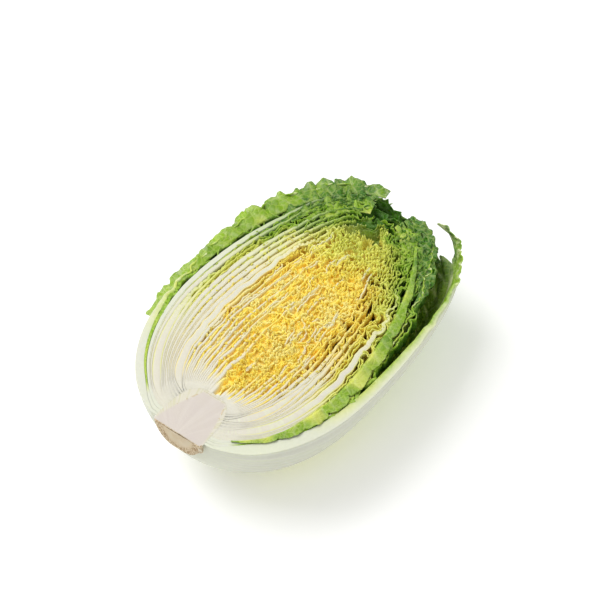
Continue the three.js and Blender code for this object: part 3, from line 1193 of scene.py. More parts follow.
    def dressed(
        self, layer: Array, run: Array, rib: Array, points: Array, vein: Array | float = 0.0
    ) -> dict[str, Array]:
        """The named values that the leaf finish reads, from the points as they lie uncrinkled."""
        zero = np.zeros_like(run * layer)
        return {
            "rib": rib + zero,
            "green": self.green(layer, run) + zero,
            # depth below the cut face, which the leaf finish turns into painted shade
            "depth": -points[..., 2] + zero,
            "vein": vein + zero,
            "seam": smooth(run, *self.seam_run) + zero,
        }

    def inner_leaf(self, leaf: Leaf) -> Surface:
        """A leaf that closes round the head: a grid of run and turn on the leaf's own place in the stack.

        Args:
            leaf: the leaf.

        Returns:
            Its closed surface.
        """
        turn = cut_rows(self.cut_turns)[None, :]
        share = np.linspace(0.0, 1.0, self.steps)[:, None]
        run = share * leaf.end(turn) + 0.0 * turn
        inner, outer, _, scale = self.stack.bounds(run, turn + 0.0 * run)
        k = leaf.number - 1
        layer = (inner[k] + outer[k]) / 2.0
        faded = smooth(run, *self.rib_fade)
        rib = leaf.rib(run, turn) * (1.0 - self.rib_faded * faded)
        start = self.root_white[leaf.number % len(self.root_white)]
        firm = np.maximum(rib, 1.0 - smooth(run, start, start + self.firm_run))
        base = self.shape.place(layer, run, turn + 0.0 * run)
        points = self.bent(base, layer, run, 1.0 - self.firmness * firm)
        soft = self.crinkle_share(layer, run) * (1.0 - firm)
        calm = self.calm(layer, run)
        points = self.frill.added(points, self.turns(run), -base[..., 2], soft, calm, leaf.number)
        points = self.rooted(points, run)
        thick = (outer[k] - inner[k]) * scale
        thick = np.maximum(thick * (1.0 - self.thinned * faded), np.minimum(thick, leaf.blade))
        white = 1.0 - smooth(run, start, start + self.white_run)
        uv = np.stack([run * self.length, np.radians(turn) * np.hypot(base[..., 1], base[..., 2])], -1)
        return closed_sheet(points, thick, self.dressed(layer, run, np.maximum(rib, white), base), uv)

    def wall(
        self, layer_at: Array, run: Array, side: Side, depth: float, rows: int, thick: Array, rib: Array,
        stiff: Array, seed: int, tint: float = 0.0, seam: float = 0.35,
    ) -> Surface:
        """A leaf that is seen only in the cut: a wall that goes down from the cut face along a layer's line.

        Args:
            layer_at: the layer at each step along the run.
            run: the runs.
            side: which half of the cut face it stands in.
            depth: how deep it goes.
            rows: points down its depth.
            thick: its thickness along the run.
            rib: 1 where it is rib, along the run.
            stiff: 1 where it doesn't crinkle, along the run.
            seed: the number of its frills.
            tint: added to how green it is.
            seam: how strongly its seams show where it is white.

        Returns:
            The closed wall.
        """
        x, r = self.shape.profile(layer_at, run, np.full_like(run, side.value))
        down = depth * np.linspace(0.0, 1.0, rows) ** self.wall_crowding
        squared = r[:, None] ** 2 - (self.wall_lean * down[None, :]) ** 2
        across = np.sqrt(np.maximum(squared, (self.wall_least * r[:, None]) ** 2))
        flat = stacked(x[:, None], side.sign * across, -down[None, :])
        shape = flat.shape[:2]
        lines = (layer_at, run, rib, np.maximum(rib, stiff))
        grid_layer, grid_run, grid_rib, firm = (np.broadcast_to(line[:, None], shape) for line in lines)
        bend, held, frilled = self.wall_firmness
        moved = self.bent(flat, grid_layer, grid_run, 1.0 - bend * firm) - flat
        points = flat + moved * (1.0 - held * firm)[..., None]
        soft = self.crinkle_share(grid_layer, grid_run) * (1.0 - frilled * firm)
        calm = self.calm(grid_layer, grid_run)
        points = self.frill.added(points, self.turns(grid_run), -flat[..., 2], soft, calm, seed)
        points = self.rooted(points, grid_run)
        tapered = thick[:, None] * np.linspace(1.0, self.wall_taper, rows)[None, :]
        closed = (thick + self.groove)[:, None] * (np.arange(rows) > 0)[None, :] * grid_rib
        closed = np.minimum(closed, self.wall_thickest) * smooth(grid_rib, *self.wall_rib)
        uv = stacked(grid_run * self.length, down[None, :])
        values = self.dressed(grid_layer, grid_run, grid_rib, flat)
        values["green"] = values["green"] + tint * (1.0 - grid_rib)
        values["seam"] = seam * smooth(grid_run, *self.wall_seam_run)
        return closed_sheet(points, np.maximum(tapered, closed), values, uv)


@dataclass(frozen=True)
class MarginPlan:
    """One kind of folded margin: where it grows to its width and tapers off, and how it lies."""

    run: Pair
    grows: Pair
    tapers: Pair
    taper: float
    width: float
    rise: float
    start: float = 0.0
    swell: float = 0.2
    lift: float = 0.0
    ragged: float = 1.0
    seed: int = 0

    def widths(self, run: Array) -> Array:
        """Millimetres at each run: what it starts with, and what it grows by and loses again."""
        kept = 1.0 - self.taper * smooth(run, *self.tapers)
        return self.start + self.width * smooth(run, *self.grows) * kept


@dataclass(frozen=True)
class FoldedMargin:
    """A frilled margin that folds out over the cut edge: a strip from a layer's line away from the axis.

    Its width is lobed by sines along the line, and it undulates more towards its free edge. Lengths of waves
    are in millimetres.
    """

    builder: LeafBuilder
    rows: int = 8
    thickness: float = 0.75
    edge_thinner: float = 0.25
    highest: float = 2.2
    sharpness: float = 1.5
    least_lobe: float = 0.66
    lobe: float = 0.46
    lobe_length: float = 44.0
    widest_lobe: float = 1.25
    short_lobes: Pair = (0.09, 0.03)
    short_lobe_lengths: Pair = (9.0, 3.6)
    tucked: float = 1.6
    wave: Pair = (0.6, 0.4)
    wave_lengths: Pair = (17.0, 8.3)
    wave_lag: float = 1.2
    wave_growth: float = 1.3
    sunk: float = 1.3
    swell: float = 0.2
    swell_sink: float = 0.6
    lift_share: float = 0.25
    sway: float = 0.07
    sway_length: float = 11.0
    vein: float = 0.3
    vein_length: float = 9.0
    vein_slant: float = 3.5
    vein_sharpness: int = 6
    vein_fade: float = 0.8
    edge_green: float = 0.12
    green_wave: float = 0.07
    green_length: float = 21.0

    def strip(
        self, layer_at: Array, run: Array, side: Side, width: Array, tint: Array | float, plan: MarginPlan
    ) -> Surface:
        """One margin.

        Args:
            layer_at: the layer of its line at each step.
            run: the runs.
            side: which half of the cut face it lies on.
            width: its width along the run, in millimetres.
            tint: how green it is, along the run or all over.
            plan: how far its free edge rises, how high its waves are for its width, how much higher it lies
                as a whole away from its line, and how much of the short lobes its free edge has.

        Returns:
            The closed strip.
        """
        phase = np.random.default_rng(plan.seed).uniform(0.0, 2.0 * math.pi, 8)
        away = np.linspace(0.0, 1.0, self.rows)[None, :]
        line = self.builder.shape.place(layer_at, run, np.full_like(run, side.value))
        ahead = unit(np.gradient(line, axis=0))
        outward = np.stack([-ahead[:, 1] * side.sign, ahead[:, 0] * side.sign, np.zeros(len(run))], axis=-1)
        turns = self.builder.turns(run)[:, None]
        wide = width[:, None]
        lobes = self.least_lobe + self.lobe * np.sqrt(np.abs(np.sin(turns / self.lobe_length + phase[0])))
        short = sum(
            size * np.sin(turns / length + start)
            for size, length, start in zip(self.short_lobes, self.short_lobe_lengths, phase[1:3])
        )
        lobes = np.minimum(lobes + plan.ragged * short, self.widest_lobe)
        reach = wide * lobes * away - np.minimum(self.tucked, wide) * (1.0 - away)
        first, second = self.wave_lengths
        wave = self.wave[0] * np.sin(turns / first + phase[3] + self.wave_lag * away)
        wave = wave + self.wave[1] * np.sin(turns / second + phase[4] - away)
        sunk = self.sunk + self.swell_sink * (plan.swell - self.swell) * wide * away
        sunk = sunk - plan.lift * smooth(away, 0.0, self.lift_share)
        height = plan.rise * away + plan.swell * wide * wave * away**self.wave_growth - sunk
        sway = self.sway * wide * away * np.sin(turns / self.sway_length + phase[5])
        points = line[:, None] + outward[:, None] * reach[..., None] + ahead[:, None] * sway[..., None]
        below = np.logaddexp(0.0, self.sharpness * (self.highest - height)) / self.sharpness
        points[..., 2] = self.highest - below
        across = reach / np.maximum(wide, 0.5)
        veins = np.maximum(0.0, np.sin(turns / self.vein_length + self.vein_slant * across + phase[6]))
        veins = veins**self.vein_sharpness * (1.0 - self.vein_fade * away)
        green = self.edge_green * away + self.green_wave * np.sin(turns / self.green_length + phase[7])
        zero = np.zeros_like(reach)
        values = {
            "rib": zero,
            "green": np.reshape(tint, (-1, 1)) + green + zero,
            "depth": zero,
            "vein": self.vein * veins + zero,
            "seam": 1.0 + zero,
        }
        uv = stacked((run * self.builder.length)[:, None], reach)
        return closed_sheet(points, self.thickness * (1.0 - self.edge_thinner * away) + zero, values, uv)


@dataclass(frozen=True)
class FoldPlan:
    """How the blade that is folded into the gaps looks: how long it is white at its base, and how green."""

    white: Pair
    tint: float = 0.0


@dataclass
class LeafFolds:
    """The folds of blade in the gaps inside the leaves, and the frilled margins at their tips."""

    builder: LeafBuilder
    margin: FoldedMargin
    depth: float = 15.0
    rows: int = 4
    blade: float = 0.8
    blade_share: float = 0.55
    thinnest: float = 0.3
    slit: float = 0.5
    slit_run: Pair = (0.08, 0.28)
    last_run: float = 0.94
    white_end: Pair = (0.75, 1.3)
    stiff_end: float = 1.7
    draw_seed: int = 100
    wall_seed: int = 200
    second_seed: int = 50
    filled: float = 0.8
    filled_run: Pair = (0.6, 0.4)
    thickest: float = 4.5
    left: FoldPlan = FoldPlan((0.42, 0.72))
    right: FoldPlan = FoldPlan((0.34, 0.58))
    green: FoldPlan = FoldPlan((0.05, 0.10), 0.12)
    band_steps: int = 220
    left_plan: MarginPlan = MarginPlan(
        (0.36, 0.995), (0.36, 0.66), (0.86, 1.0), 0.75, 11.5, 1.6, start=4.0, seed=41
    )
    left_layer: float = 0.985
    left_least: float = 3.0
    left_green: Pair = (0.70, 0.26)
    left_green_run: Pair = (0.66, 0.92)
    widest: float = 100.0
    right_plan: MarginPlan = MarginPlan(
        (0.07, 0.84), (0.05, 0.36), (0.50, 0.84), 0.92, 9.6, 0.6, start=0.3,
        swell=0.16, lift=2.4, ragged=0.35, seed=43,
    )
    right_layer: Pair = (0.862, 0.07)
    right_layer_run: Pair = (0.12, 0.36)
    right_green: Several = (0.60, 0.11, 0.14)
    right_green_waves: float = 34.0
    right_green_run: Pair = (0.45, 0.8)
    tip_plan: MarginPlan = MarginPlan(
        (0.80, 0.975), (0.80, 0.88), (0.90, 0.975), 0.8, 10.6, 1.0, swell=0.5, seed=60
    )
    tip_leaves: tuple[int, int] = (4, 8)
    tip_earlier: float = 0.035
    tip_grows: float = 0.08
    tip_right_share: float = 0.62
    tip_least: float = 0.6
    tip_green: Pair = (0.62, 0.12)

    def folded(self, leaf: Leaf, side: Side) -> list[Surface]:
        """Walls in the gap inside a leaf.

        A white base fills its part of the gap, but for a slit that opens above the root, and its blade is
        thin. The last leaf but one has a wider gap on the left, where the leaf inside it doesn't reach the
        cut, and takes two.

        Args:
            leaf: the leaf outside the gap.
            side: the side of the cut face.

        Returns:
            One wall or two.
        """
        number = 2 * leaf.number + (side is Side.RIGHT)
        rng = np.random.default_rng(self.draw_seed + number)
        run = np.linspace(0.0, self.last_run, self.builder.steps)
        inner, outer, gap, scale = self.builder.stack.bounds(run, np.full_like(run, side.value))
        k = leaf.number - 1
        wide = leaf.number == self.builder.stack.count - 1 and side is Side.LEFT
        low = outer[k - 2] if wide else inner[k] - gap
        count = 2 if wide else 1
        room = (inner[k] - low) / count * scale
        made = []
        for j in range(count):
            green = leaf.outer and j == count - 1
            plan = self.green if green else (self.left if side is Side.LEFT else self.right)
            length = rng.uniform(*plan.white)
            rib = 1.0 - smooth(run, *(share * length for share in self.white_end))
            stiff = 1.0 - smooth(run, length, self.stiff_end * length)
            full = np.minimum(room - self.slit * smooth(run, *self.slit_run), self.thickest)
            fill = self.filled * smooth(run, *self.filled_run) if leaf.outer else 0.0
            thin = np.maximum(
                np.minimum(self.blade, self.blade_share * room), np.minimum(fill * room, self.thickest)
            )
            thick = np.maximum(self.thinnest, mix(thin, full, rib))
            layer = low + (inner[k] - low) * (j + 0.5) / count
            seed = self.wall_seed + number + self.second_seed * j
            made.append(self.builder.wall(
                layer, run, side, self.depth, self.rows, thick, rib, stiff, seed, plan.tint
            ))
        return made

    def left_margin(self) -> Surface:
        """The long margin beside the head on its left, no wider than its room.

        Returns:
            The closed strip.
        """
        plan = self.left_plan
        run = np.linspace(*plan.run, 2 * self.band_steps)
        _, radius = self.builder.shape.profile(self.left_layer, run, np.zeros_like(run))
        room = np.maximum(self.left_least, (self.widest - radius) / self.margin.widest_lobe)
        width = np.clip(plan.widths(run), self.left_least, room)
        tint = self.left_green[0] + self.left_green[1] * smooth(run, *self.left_green_run)
        layer = np.full_like(run, self.left_layer)
        return self.margin.strip(layer, run, Side.LEFT, width, tint, plan)

    def right_margin(self) -> Surface:
        """The long narrow margin that lies over the cut edge on the right.

        Returns:
            The closed strip.
        """
        plan = self.right_plan
        run = np.linspace(*plan.run, 2 * self.band_steps)
        base, wave, end = self.right_green
        tint = base + wave * np.sin(self.right_green_waves * run) + end * smooth(run, *self.right_green_run)
        start, inwards = self.right_layer
        layer = np.full_like(run, start) - inwards * smooth(run, *self.right_layer_run)
        return self.margin.strip(layer, run, Side.RIGHT, plan.widths(run), tint, plan)

    def tip_margin(self, leaf: Leaf, side: Side) -> Surface:
        """A short margin at a leaf's tip, which starts sooner on the leaves further out.

        Args:
            leaf: the leaf.
            side: the side of the cut face.

        Returns:
            The closed strip.
        """
        outward = leaf.number - self.tip_leaves[0]
        start = self.tip_plan.run[0] - self.tip_earlier * outward
        run = np.linspace(start, self.tip_plan.run[1], self.band_steps)
        wide = self.tip_plan.width * (1.0 if side is Side.LEFT else self.tip_right_share)
        seed = self.tip_plan.seed + 2 * leaf.number + (side is Side.RIGHT)
        plan = replace(self.tip_plan, grows=(start, start + self.tip_grows), width=wide, seed=seed)
        inner, outer, _, _ = self.builder.stack.bounds(run, np.full_like(run, side.value))
        line = (inner[leaf.number - 1] + outer[leaf.number - 1]) / 2.0
        width = np.maximum(plan.widths(run), self.tip_least)
        tint = self.tip_green[0] + self.tip_green[1] * outward
        return self.margin.strip(line, run, side, width, tint, plan)

    def bands(self, leaf: Leaf) -> list[Surface]:
        """The margins of one leaf that fold out over the cut.

        Args:
            leaf: the leaf.

        Returns:
            Its margins, or none.
        """
        made = []
        first, last = self.tip_leaves
        if leaf.number == self.builder.stack.count - 1:
            made.append(self.left_margin())
        if leaf.number == self.builder.stack.count - 2:
            made.append(self.right_margin())
        if first <= leaf.number <= last:
            sides = [side for side in Side if leaf.number < last or side is Side.RIGHT]
            made.extend(self.tip_margin(leaf, side) for side in sides)
        return made

    def of(self, leaf: Leaf) -> list[Surface]:
        """All walls and margins that are folded inside or over one leaf."""
        sides = [side for side in Side if turn_between(side.value, leaf.centre) <= leaf.span]
        return [*(wall for side in sides for wall in self.folded(leaf, side)), *self.bands(leaf)]


@dataclass
class InnerLeaves:
    """The leaves that close round the head, each with the folds of blade in the gap inside it."""

    builder: LeafBuilder
    frame: HeadFrame
    folds: LeafFolds

    def build(self, material: Material) -> None:
        """Builds and dresses every inner leaf."""
        for leaf in self.builder.stack.leaves:
            if not leaf.outer:
                parts = [self.builder.inner_leaf(leaf), *self.folds.of(leaf)]
                self.frame.piece(leaf.name + "_blade", parts, Slot.INNER, (leaf.name,), material)


@dataclass
class HeartLeaves:
    """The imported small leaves: nested crinkled walls over a core that closes them below."""

    builder: LeafBuilder
    frame: HeadFrame
    outermost: float = 0.402
    count: int = 17
    depth: float = 8.0
    rows: int = 4
    first_place: float = 0.45
    blade: float = 1.05
    slit: float = 0.25
    slit_run: Pair = (0.08, 0.25)
    thickness_range: Pair = (0.5, 3.4)
    room_layer: float = 0.03
    thick_run: Pair = (0.3, 0.5)
    flake_thickness: float = 1.5
    flake_run: Pair = (0.3, 0.4)
    ends: Several = (0.97, 0.80, 0.90, 0.74)
    inner_shorter: float = 0.08
    end_range: Pair = (-0.03, 0.02)
    white_left: Pair = (0.32, 0.54)
    white_right: Pair = (0.10, 0.44)
    white_range: Pair = (0.8, 1.2)
    white_end: Pair = (0.55, 1.2)
    stiff_end: Pair = (1.05, 1.6)
    uneven: Several = (0.45, 1.35, 0.7, 1.1)
    flakes: int = 4
    flake_middle: Pair = (0.25, 0.80)
    flake_reach: Pair = (0.016, 0.048)
    flake_strength: float = 0.75
    flake_chance: float = 0.40
    wander: float = 0.008
    wander_waves: Pair = (18.0, 30.0)
    wander_run: Pair = (0.1, 0.3)
    core_inset: float = 0.03
    core_end: float = 0.985
    core_tip: float = 0.06
    core_root: float = 0.8
    core_depth: float = 3.6
    core_depth_run: Pair = (0.01, 0.12)
    core_dip: float = 7.0
    core_dip_run: Pair = (0.66, 0.84)
    core_least: float = 0.4
    core_lump_run: Pair = (0.08, 0.2)
    core_white: Pair = (0.03, 0.10)
    core_layer: float = 0.1
    core_map: Pair = (290.0, 60.0)
    core_segments: int = 30
    core_steps: int = 110
    seed: int = 21
    wall_seed: int = 300

    def wall(self, i: int, side: Side, rng: np.random.Generator, made: int) -> Surface:
        """One nested wall, white at its base and with a few pale flakes along it.

        Where the head narrows to its tip, the walls near the axis and every other one end sooner, so that
        the rest keep their room.

        Args:
            i: its number from the axis outwards.
            side: the side of the cut face.
            rng: the heart's random numbers.
            made: how many walls were made before it.

        Returns:
            The closed wall.
        """
        outward = i / self.count
        spacing = self.outermost / self.count
        layer = spacing * (i + self.first_place)
        end = self.ends[i % len(self.ends)] - self.inner_shorter * (1.0 - outward)
        end = end + rng.uniform(*self.end_range)
        run = np.linspace(0.0, end, self.builder.steps)
        white = self.white_left if side is Side.LEFT else self.white_right
        length = mix(*white, outward) * rng.uniform(*self.white_range) * self.uneven[i % len(self.uneven)]
        rib = 1.0 - smooth(run, *(share * length for share in self.white_end))
        stiff = 1.0 - smooth(run, *(share * length for share in self.stiff_end))
        for _ in range(self.flakes):
            middle = rng.uniform(*self.flake_middle)
            reach = rng.uniform(*self.flake_reach)
            strength = self.flake_strength * float(rng.random() < self.flake_chance)
            rib = np.maximum(rib, strength * (1.0 - smooth(np.abs(run - middle), 0.5 * reach, reach)))
        wave = np.sin(run * rng.uniform(*self.wander_waves) + rng.uniform(0.0, 6.0))
        at = layer + self.wander * wave * smooth(run, *self.wander_run)
        turn = np.full_like(run, side.value)
        room = spacing * self.builder.shape.room_per_layer(run, turn, layer + self.room_layer)
        full = np.clip(room - self.slit * smooth(run, *self.slit_run), *self.thickness_range)
        thick = mix(self.blade, full, rib * (1.0 - smooth(run, *self.thick_run)))
        thick = np.maximum(thick, self.flake_thickness * rib * smooth(run, *self.flake_run))
        seed = self.wall_seed + 2 * i + made
        return self.builder.wall(at, run, side, self.depth, self.rows, thick, rib, stiff, seed)

    def walls(self) -> list[Surface]:
        """The nested walls from the axis outwards, left and right in turn.

        Returns:
            The walls.
        """
        rng = np.random.default_rng(self.seed)
        made = []
        for i in range(self.count):
            for side in Side:
                made.append(self.wall(i, side, rng, len(made)))
        return made

    def core(self) -> Surface:
        """The core: half of a turned body with a lumpy top some way below the cut face.

        Its underside is a grid of run and turn, and its top a flat grid across, which comes up to the stem's
        top at the root.

        Returns:
            The closed core.
        """
        run = np.linspace(0.0, self.core_end, self.core_steps)[:, None]
        across = np.linspace(0.0, 1.0, self.core_segments)[None, :]
        x, r = self.builder.shape.profile(self.outermost - self.core_inset, run, np.zeros_like(run))
        sunk = mix(self.core_root, self.core_depth, smooth(run, *self.core_depth_run))
        sunk = sunk + self.core_dip * smooth(run, *self.core_dip_run)
        reach = np.maximum(r * smooth(1.0 - run, 0.0, self.core_tip), sunk + self.core_least)
        low = np.arcsin(np.clip(sunk / reach, 0.0, 1.0))
        angle = mix(low, math.pi - low, across)
        under = stacked(x, reach * np.cos(angle), -reach * np.sin(angle))
        width = reach * np.cos(low)
        lumps = 1.0 * np.sin(0.9 * x + 18.0 * across) + 0.6 * np.sin(1.7 * x - 31.0 * across)
        lumps = lumps * np.sin(math.pi * across) * smooth(run, *self.core_lump_run)
        top = stacked(x, mix(width, -width, across), lumps - sunk)
        shape = top.shape[:2]
        size = shape[0] * shape[1]
        face = grid_quads(*shape)
        quads = np.concatenate([face, face[:, ::-1] + size, closed_ring(*shape)])
        points = np.concatenate([under.reshape(-1, 3), top.reshape(-1, 3)])
        grid_run = np.broadcast_to(run, shape)
        rib = 1.0 - smooth(grid_run, *self.core_white)
        values = self.builder.dressed(np.full(shape, self.core_layer), grid_run, rib, top)
        both = {key: np.concatenate([value.ravel(), value.ravel()]) for key, value in values.items()}
        both["inside"] = np.zeros(2 * size)
        along, aside = self.core_map
        uv = stacked(run * along, across * aside).reshape(-1, 2)
        return Surface(points, quads, np.zeros(len(quads), bool), both, np.concatenate([uv, uv]))

    def build(self, material: Material) -> None:
        """Builds and dresses the heart as a core with inner walls and a piece of outer walls.

        Args:
            material: its finish.
        """
        walls = self.walls()
        half = len(walls) // 2
        inner = [self.core(), *walls[:half]]
        self.frame.piece("heart_core", inner, Slot.HEART, ("heart_leaves",), material)
        self.frame.piece("heart_outer", walls[half:], Slot.HEART, (), material)


@dataclass(frozen=True)
class LeafGrid:
    """A grid of run and turn on one outer leaf, and what its relief and colours are worked out from.

    Along, aside, margin and cut are distances: millimetres up the leaf, millimetres from its midrib and from
    its free edges, and degrees from the nearer cut edge.
    """

    leaf: Leaf
    centre: float
    run: Array
    turn: Array
    layer: Array
    thick: Array
    rib: Array
    along: Array
    aside: Array
    margin: Array
    cut: Array


@dataclass
class OuterLeaves:
    """The outermost leaves: broad ribbed petioles, veined and puckered blades and frilled margins.

    Pairs are the run, turn or distance where something starts and where it is complete.
    """

    builder: LeafBuilder
    frame: HeadFrame
    folds: LeafFolds
    steps: int = 280
    length: float = 290.0
    turn_step: float = 1.5
    cut_turns: Pair = (0.35, 0.8)
    outer_flare: float = 30.0
    outer_flare_run: Pair = (0.42, 1.0)
    outer_flare_turn: Pair = (115.0, 180.0)
    inner_flare: float = 13.0
    inner_flare_run: Pair = (0.45, 0.75)
    inner_flare_turn: float = 60.0
    end_waves: Pair = (0.010, 0.007)
    notch: float = 0.11
    notch_turn: Several = (4.0, 11.0, 22.0, 50.0)
    frill: float = 4.5
    frill_width: float = 26.0
    frill_sharpness: float = 1.5
    frill_run: Pair = (0.3, 0.6)
    frill_lean: float = 0.55
    vein_spacing: float = 21.0
    vein_slant: float = 1.15
    vein_bow: float = 0.004
    vein_width: Pair = (1.9, 0.9)
    vein_width_aside: Pair = (0.0, 70.0)
    fine_vein: float = 0.45
    fine_vein_slant: float = 0.9
    fine_vein_spacing: float = 11.55
    fine_vein_width: float = 0.8
    vein_run: Pair = (0.12, 0.3)
    vein_height: float = 0.5
    vein_on_rib: float = 0.75
    midrib_width: Pair = (9.0, 2.2)
    midrib_run: Pair = (0.3, 0.6)
    pucker: float = 0.9
    pucker_run: Pair = (0.15, 0.4)
    ridge: float = 0.6
    ridge_waves: float = 58.0
    ridge_run: Pair = (0.03, 0.2)
    brim: float = 3.2
    brim_turn: float = 14.0
    brim_run: Several = (0.02, 0.14, 0.45, 0.85)
    crinkle: float = 0.55
    crinkle_turn: float = 9.0
    crinkle_run: Pair = (0.3, 0.55)
    crinkle_lift: Pair = (1.0, 5.0)
    roll: float = 1.2
    roll_turn: float = 5.0
    roll_run: Pair = (0.55, 1.0)
    roll_waves: float = 0.19
    green: Several = (0.46, 0.30, 0.16, -0.10)
    green_tip: Pair = (0.35, 1.0)
    green_margin: float = 18.0
    green_root: Pair = (0.5, 0.1)
    green_inside: float = 0.12
    root_white: Pair = (0.16, 0.40)
    white_margin: Pair = (0.10, 10.0)
    rib_faded: float = 0.85
    rib_fade: Pair = (0.68, 0.90)
    inside_rib_run: Pair = (0.25, 0.5)
    map_width: float = 80.0

    def flare(self, grid: LeafGrid) -> Array:
        """How far the two outermost leaves stand away from the head at the cut face, towards their tips.

        Args:
            grid: the leaf's grid.

        Returns:
            Millimetres.
        """
        if grid.leaf.number == self.builder.stack.count:
            towards_cut = smooth(grid.turn, *self.outer_flare_turn)
            return self.outer_flare * smooth(grid.run, *self.outer_flare_run) * towards_cut
        if grid.leaf.number == self.builder.stack.count - 1:
            towards_cut = smooth(self.inner_flare_turn - grid.turn, 0.0, self.inner_flare_turn)
            return self.inner_flare * smooth(grid.run, *self.inner_flare_run) * towards_cut
        return np.zeros_like(grid.run)

    def veins(self, grid: LeafGrid) -> Array:
        """Side veins: pairs that leave the midrib at a slant and curve up, with a finer set between them.

        Each vein is a peak of exp(-(distance / width)^2), wide at the midrib and narrower outward.

        Args:
            grid: the leaf's grid.

        Returns:
            1 on a vein to 0 off it.
        """
        distance = np.abs(grid.aside)
        lean = grid.along - self.vein_slant * distance - self.vein_bow * distance**2
        first = lean / self.vein_spacing + 0.37 * (grid.aside > 0)
        off = np.abs(first - np.round(first)) * self.vein_spacing
        main = np.exp(-((off / mix(*self.vein_width, smooth(distance, *self.vein_width_aside))) ** 2))
        second = (grid.along + self.fine_vein_slant * distance) / self.fine_vein_spacing
        off = np.abs(second - np.round(second)) * self.fine_vein_spacing
        return np.maximum(main, self.fine_vein * np.exp(-((off / self.fine_vein_width) ** 2)))

    def end(self, leaf: Leaf, turn: Array) -> Array:
        """The run where an outer leaf ends: wavy, and for the outermost one notched near the cut face.

        Args:
            leaf: the leaf.
            turn: the turns.

        Returns:
            The runs.
        """
        broad, short = self.end_waves
        wavy = leaf.end(turn) * (1.0 + broad * np.sin(turn * 0.33) + short * np.sin(turn * 0.61 + 1.0))
        if leaf.number == self.builder.stack.count:
            wavy = wavy * (1.0 - self.notch * window(180.0 - turn, *self.notch_turn))
        return wavy

    def grid(self, leaf: Leaf) -> LeafGrid:
        """Lays a dense grid on an outer leaf, with two more turns beside each edge that is cut.

        Args:
            leaf: the leaf.

        Returns:
            The grid.
        """
        centre = leaf.centre if leaf.centre + leaf.span > 0.0 else leaf.centre + 360.0
        low, high = max(0.0, centre - leaf.span), min(180.0, centre + leaf.span)
        turn = np.linspace(low, high, int((high - low) / self.turn_step) + 2)
        near, next_to_it = self.cut_turns
        if low == 0.0:
            turn = np.insert(turn, 1, [near, next_to_it])
        if high == 180.0:
            turn = np.insert(turn, -1, [180.0 - next_to_it, 180.0 - near])
        end = self.end(leaf, turn[None, :])
        run = np.linspace(0.0, 1.0, self.steps)[:, None] * end
        turn = turn[None, :] + 0.0 * run
        inner, outer, _, scale = self.builder.stack.bounds(run, turn)
        k = leaf.number - 1
        layer = (inner[k] + outer[k]) / 2.0
        _, r = self.builder.shape.profile(layer, run, turn)
        margin = (end - run) * self.length
        for edge in (low, high):
            if edge not in (0.0, 180.0):
                margin = np.minimum(margin, np.abs(np.radians(turn - edge)) * r)
        thick = (outer[k] - inner[k]) * scale
        aside = np.radians(turn - centre) * r
        cut = np.minimum(turn, 180.0 - turn)
        rib = leaf.rib(run, turn)
        return LeafGrid(leaf, centre, run, turn, layer, thick, rib, run * self.length, aside, margin, cut)

    def ruffle(self, grid: LeafGrid) -> Array:
        """Frills of the free margins, highest beside the cut face.

        Args:
            grid: the leaf's grid.

        Returns:
            Millimetres away from the head.
        """
        frill = np.exp(-((grid.margin / self.frill_width) ** self.frill_sharpness))
        wave = 0.6 * np.sin(grid.turn * 0.37 + 2.1 * np.sin(grid.along * 0.045))
        wave = wave + 0.4 * np.sin(grid.turn * 0.61 + grid.along * 0.21)
        free = smooth(90.0 - np.abs(grid.turn - 90.0), 90.0, 20.0) * 0.55 + 0.45
        return self.frill * frill * free * (self.frill_lean + wave) * smooth(grid.run, *self.frill_run)

    def relief(self, grid: LeafGrid, vein: Array, brim: Array) -> Array:
        """How far the leaf stands off its smooth shell: flare, frills, puckers, ridges, veins and brim.

        Args:
            grid: the leaf's grid.
            vein: 1 on a vein.
            brim: how much thicker it is beside the cut.

        Returns:
            Millimetres away from the head.
        """
        soft = 1.0 - grid.rib
        across = np.sin(grid.aside * 0.62 + 1.3 * np.sin(grid.along * 0.31))
        cells = across * np.sin(grid.along * 0.57 + 1.1 * np.sin(grid.aside * 0.43))
        pucker = self.pucker * cells * soft * smooth(grid.run, *self.pucker_run)
        ridges = self.ridge * np.sin(np.radians(grid.turn - grid.centre) * self.ridge_waves)
        ridges = ridges * grid.rib * smooth(grid.run, *self.ridge_run)
        height = self.flare(grid) + self.ruffle(grid) + pucker + ridges
        return height + self.vein_height * vein * soft + 0.5 * brim

    def leaf(self, leaf: Leaf) -> Surface:
        """One outer leaf as a dense grid of run and turn, with its relief away from the head's axis.

        Args:
            leaf: the leaf.

        Returns:
            Its closed surface.
        """
        grid = self.grid(leaf)
        run, rib, cut = grid.run, grid.rib, grid.cut
        soft = 1.0 - rib
        midrib = np.exp(-((grid.aside / mix(*self.midrib_width, run)) ** 2))
        vein = self.veins(grid) * smooth(run, *self.vein_run) * (1.0 - self.vein_on_rib * rib)
        vein = np.maximum(vein, midrib * smooth(run, *self.midrib_run))
        broad = self.brim if leaf.number == self.builder.stack.count else 0.0
        brim = broad * rib * np.exp(-((cut / self.brim_turn) ** 2)) * window(run, *self.brim_run)
        points = self.builder.shape.place(grid.layer, run, grid.turn, self.relief(grid, vein, brim))
        near = np.exp(-((cut / self.crinkle_turn) ** 2)) * self.crinkle
        crinkled = soft * smooth(run, *self.crinkle_run) * near
        points = self.builder.fine.bend(points, crinkled, smooth(cut, *self.crinkle_lift))
        rolled = smooth(run, *self.roll_run) * soft * np.exp(-((cut / self.roll_turn) ** 2))
        rolled = rolled * self.roll * np.sin(grid.along * self.roll_waves + leaf.number)
        points[..., 2] = points[..., 2] + rolled
        values, within = self.colours(grid, vein)
        uv = np.stack([grid.along, np.radians(grid.turn) * self.map_width], -1)
        return closed_sheet(self.builder.rooted(points, run), grid.thick + brim, values, uv, within)

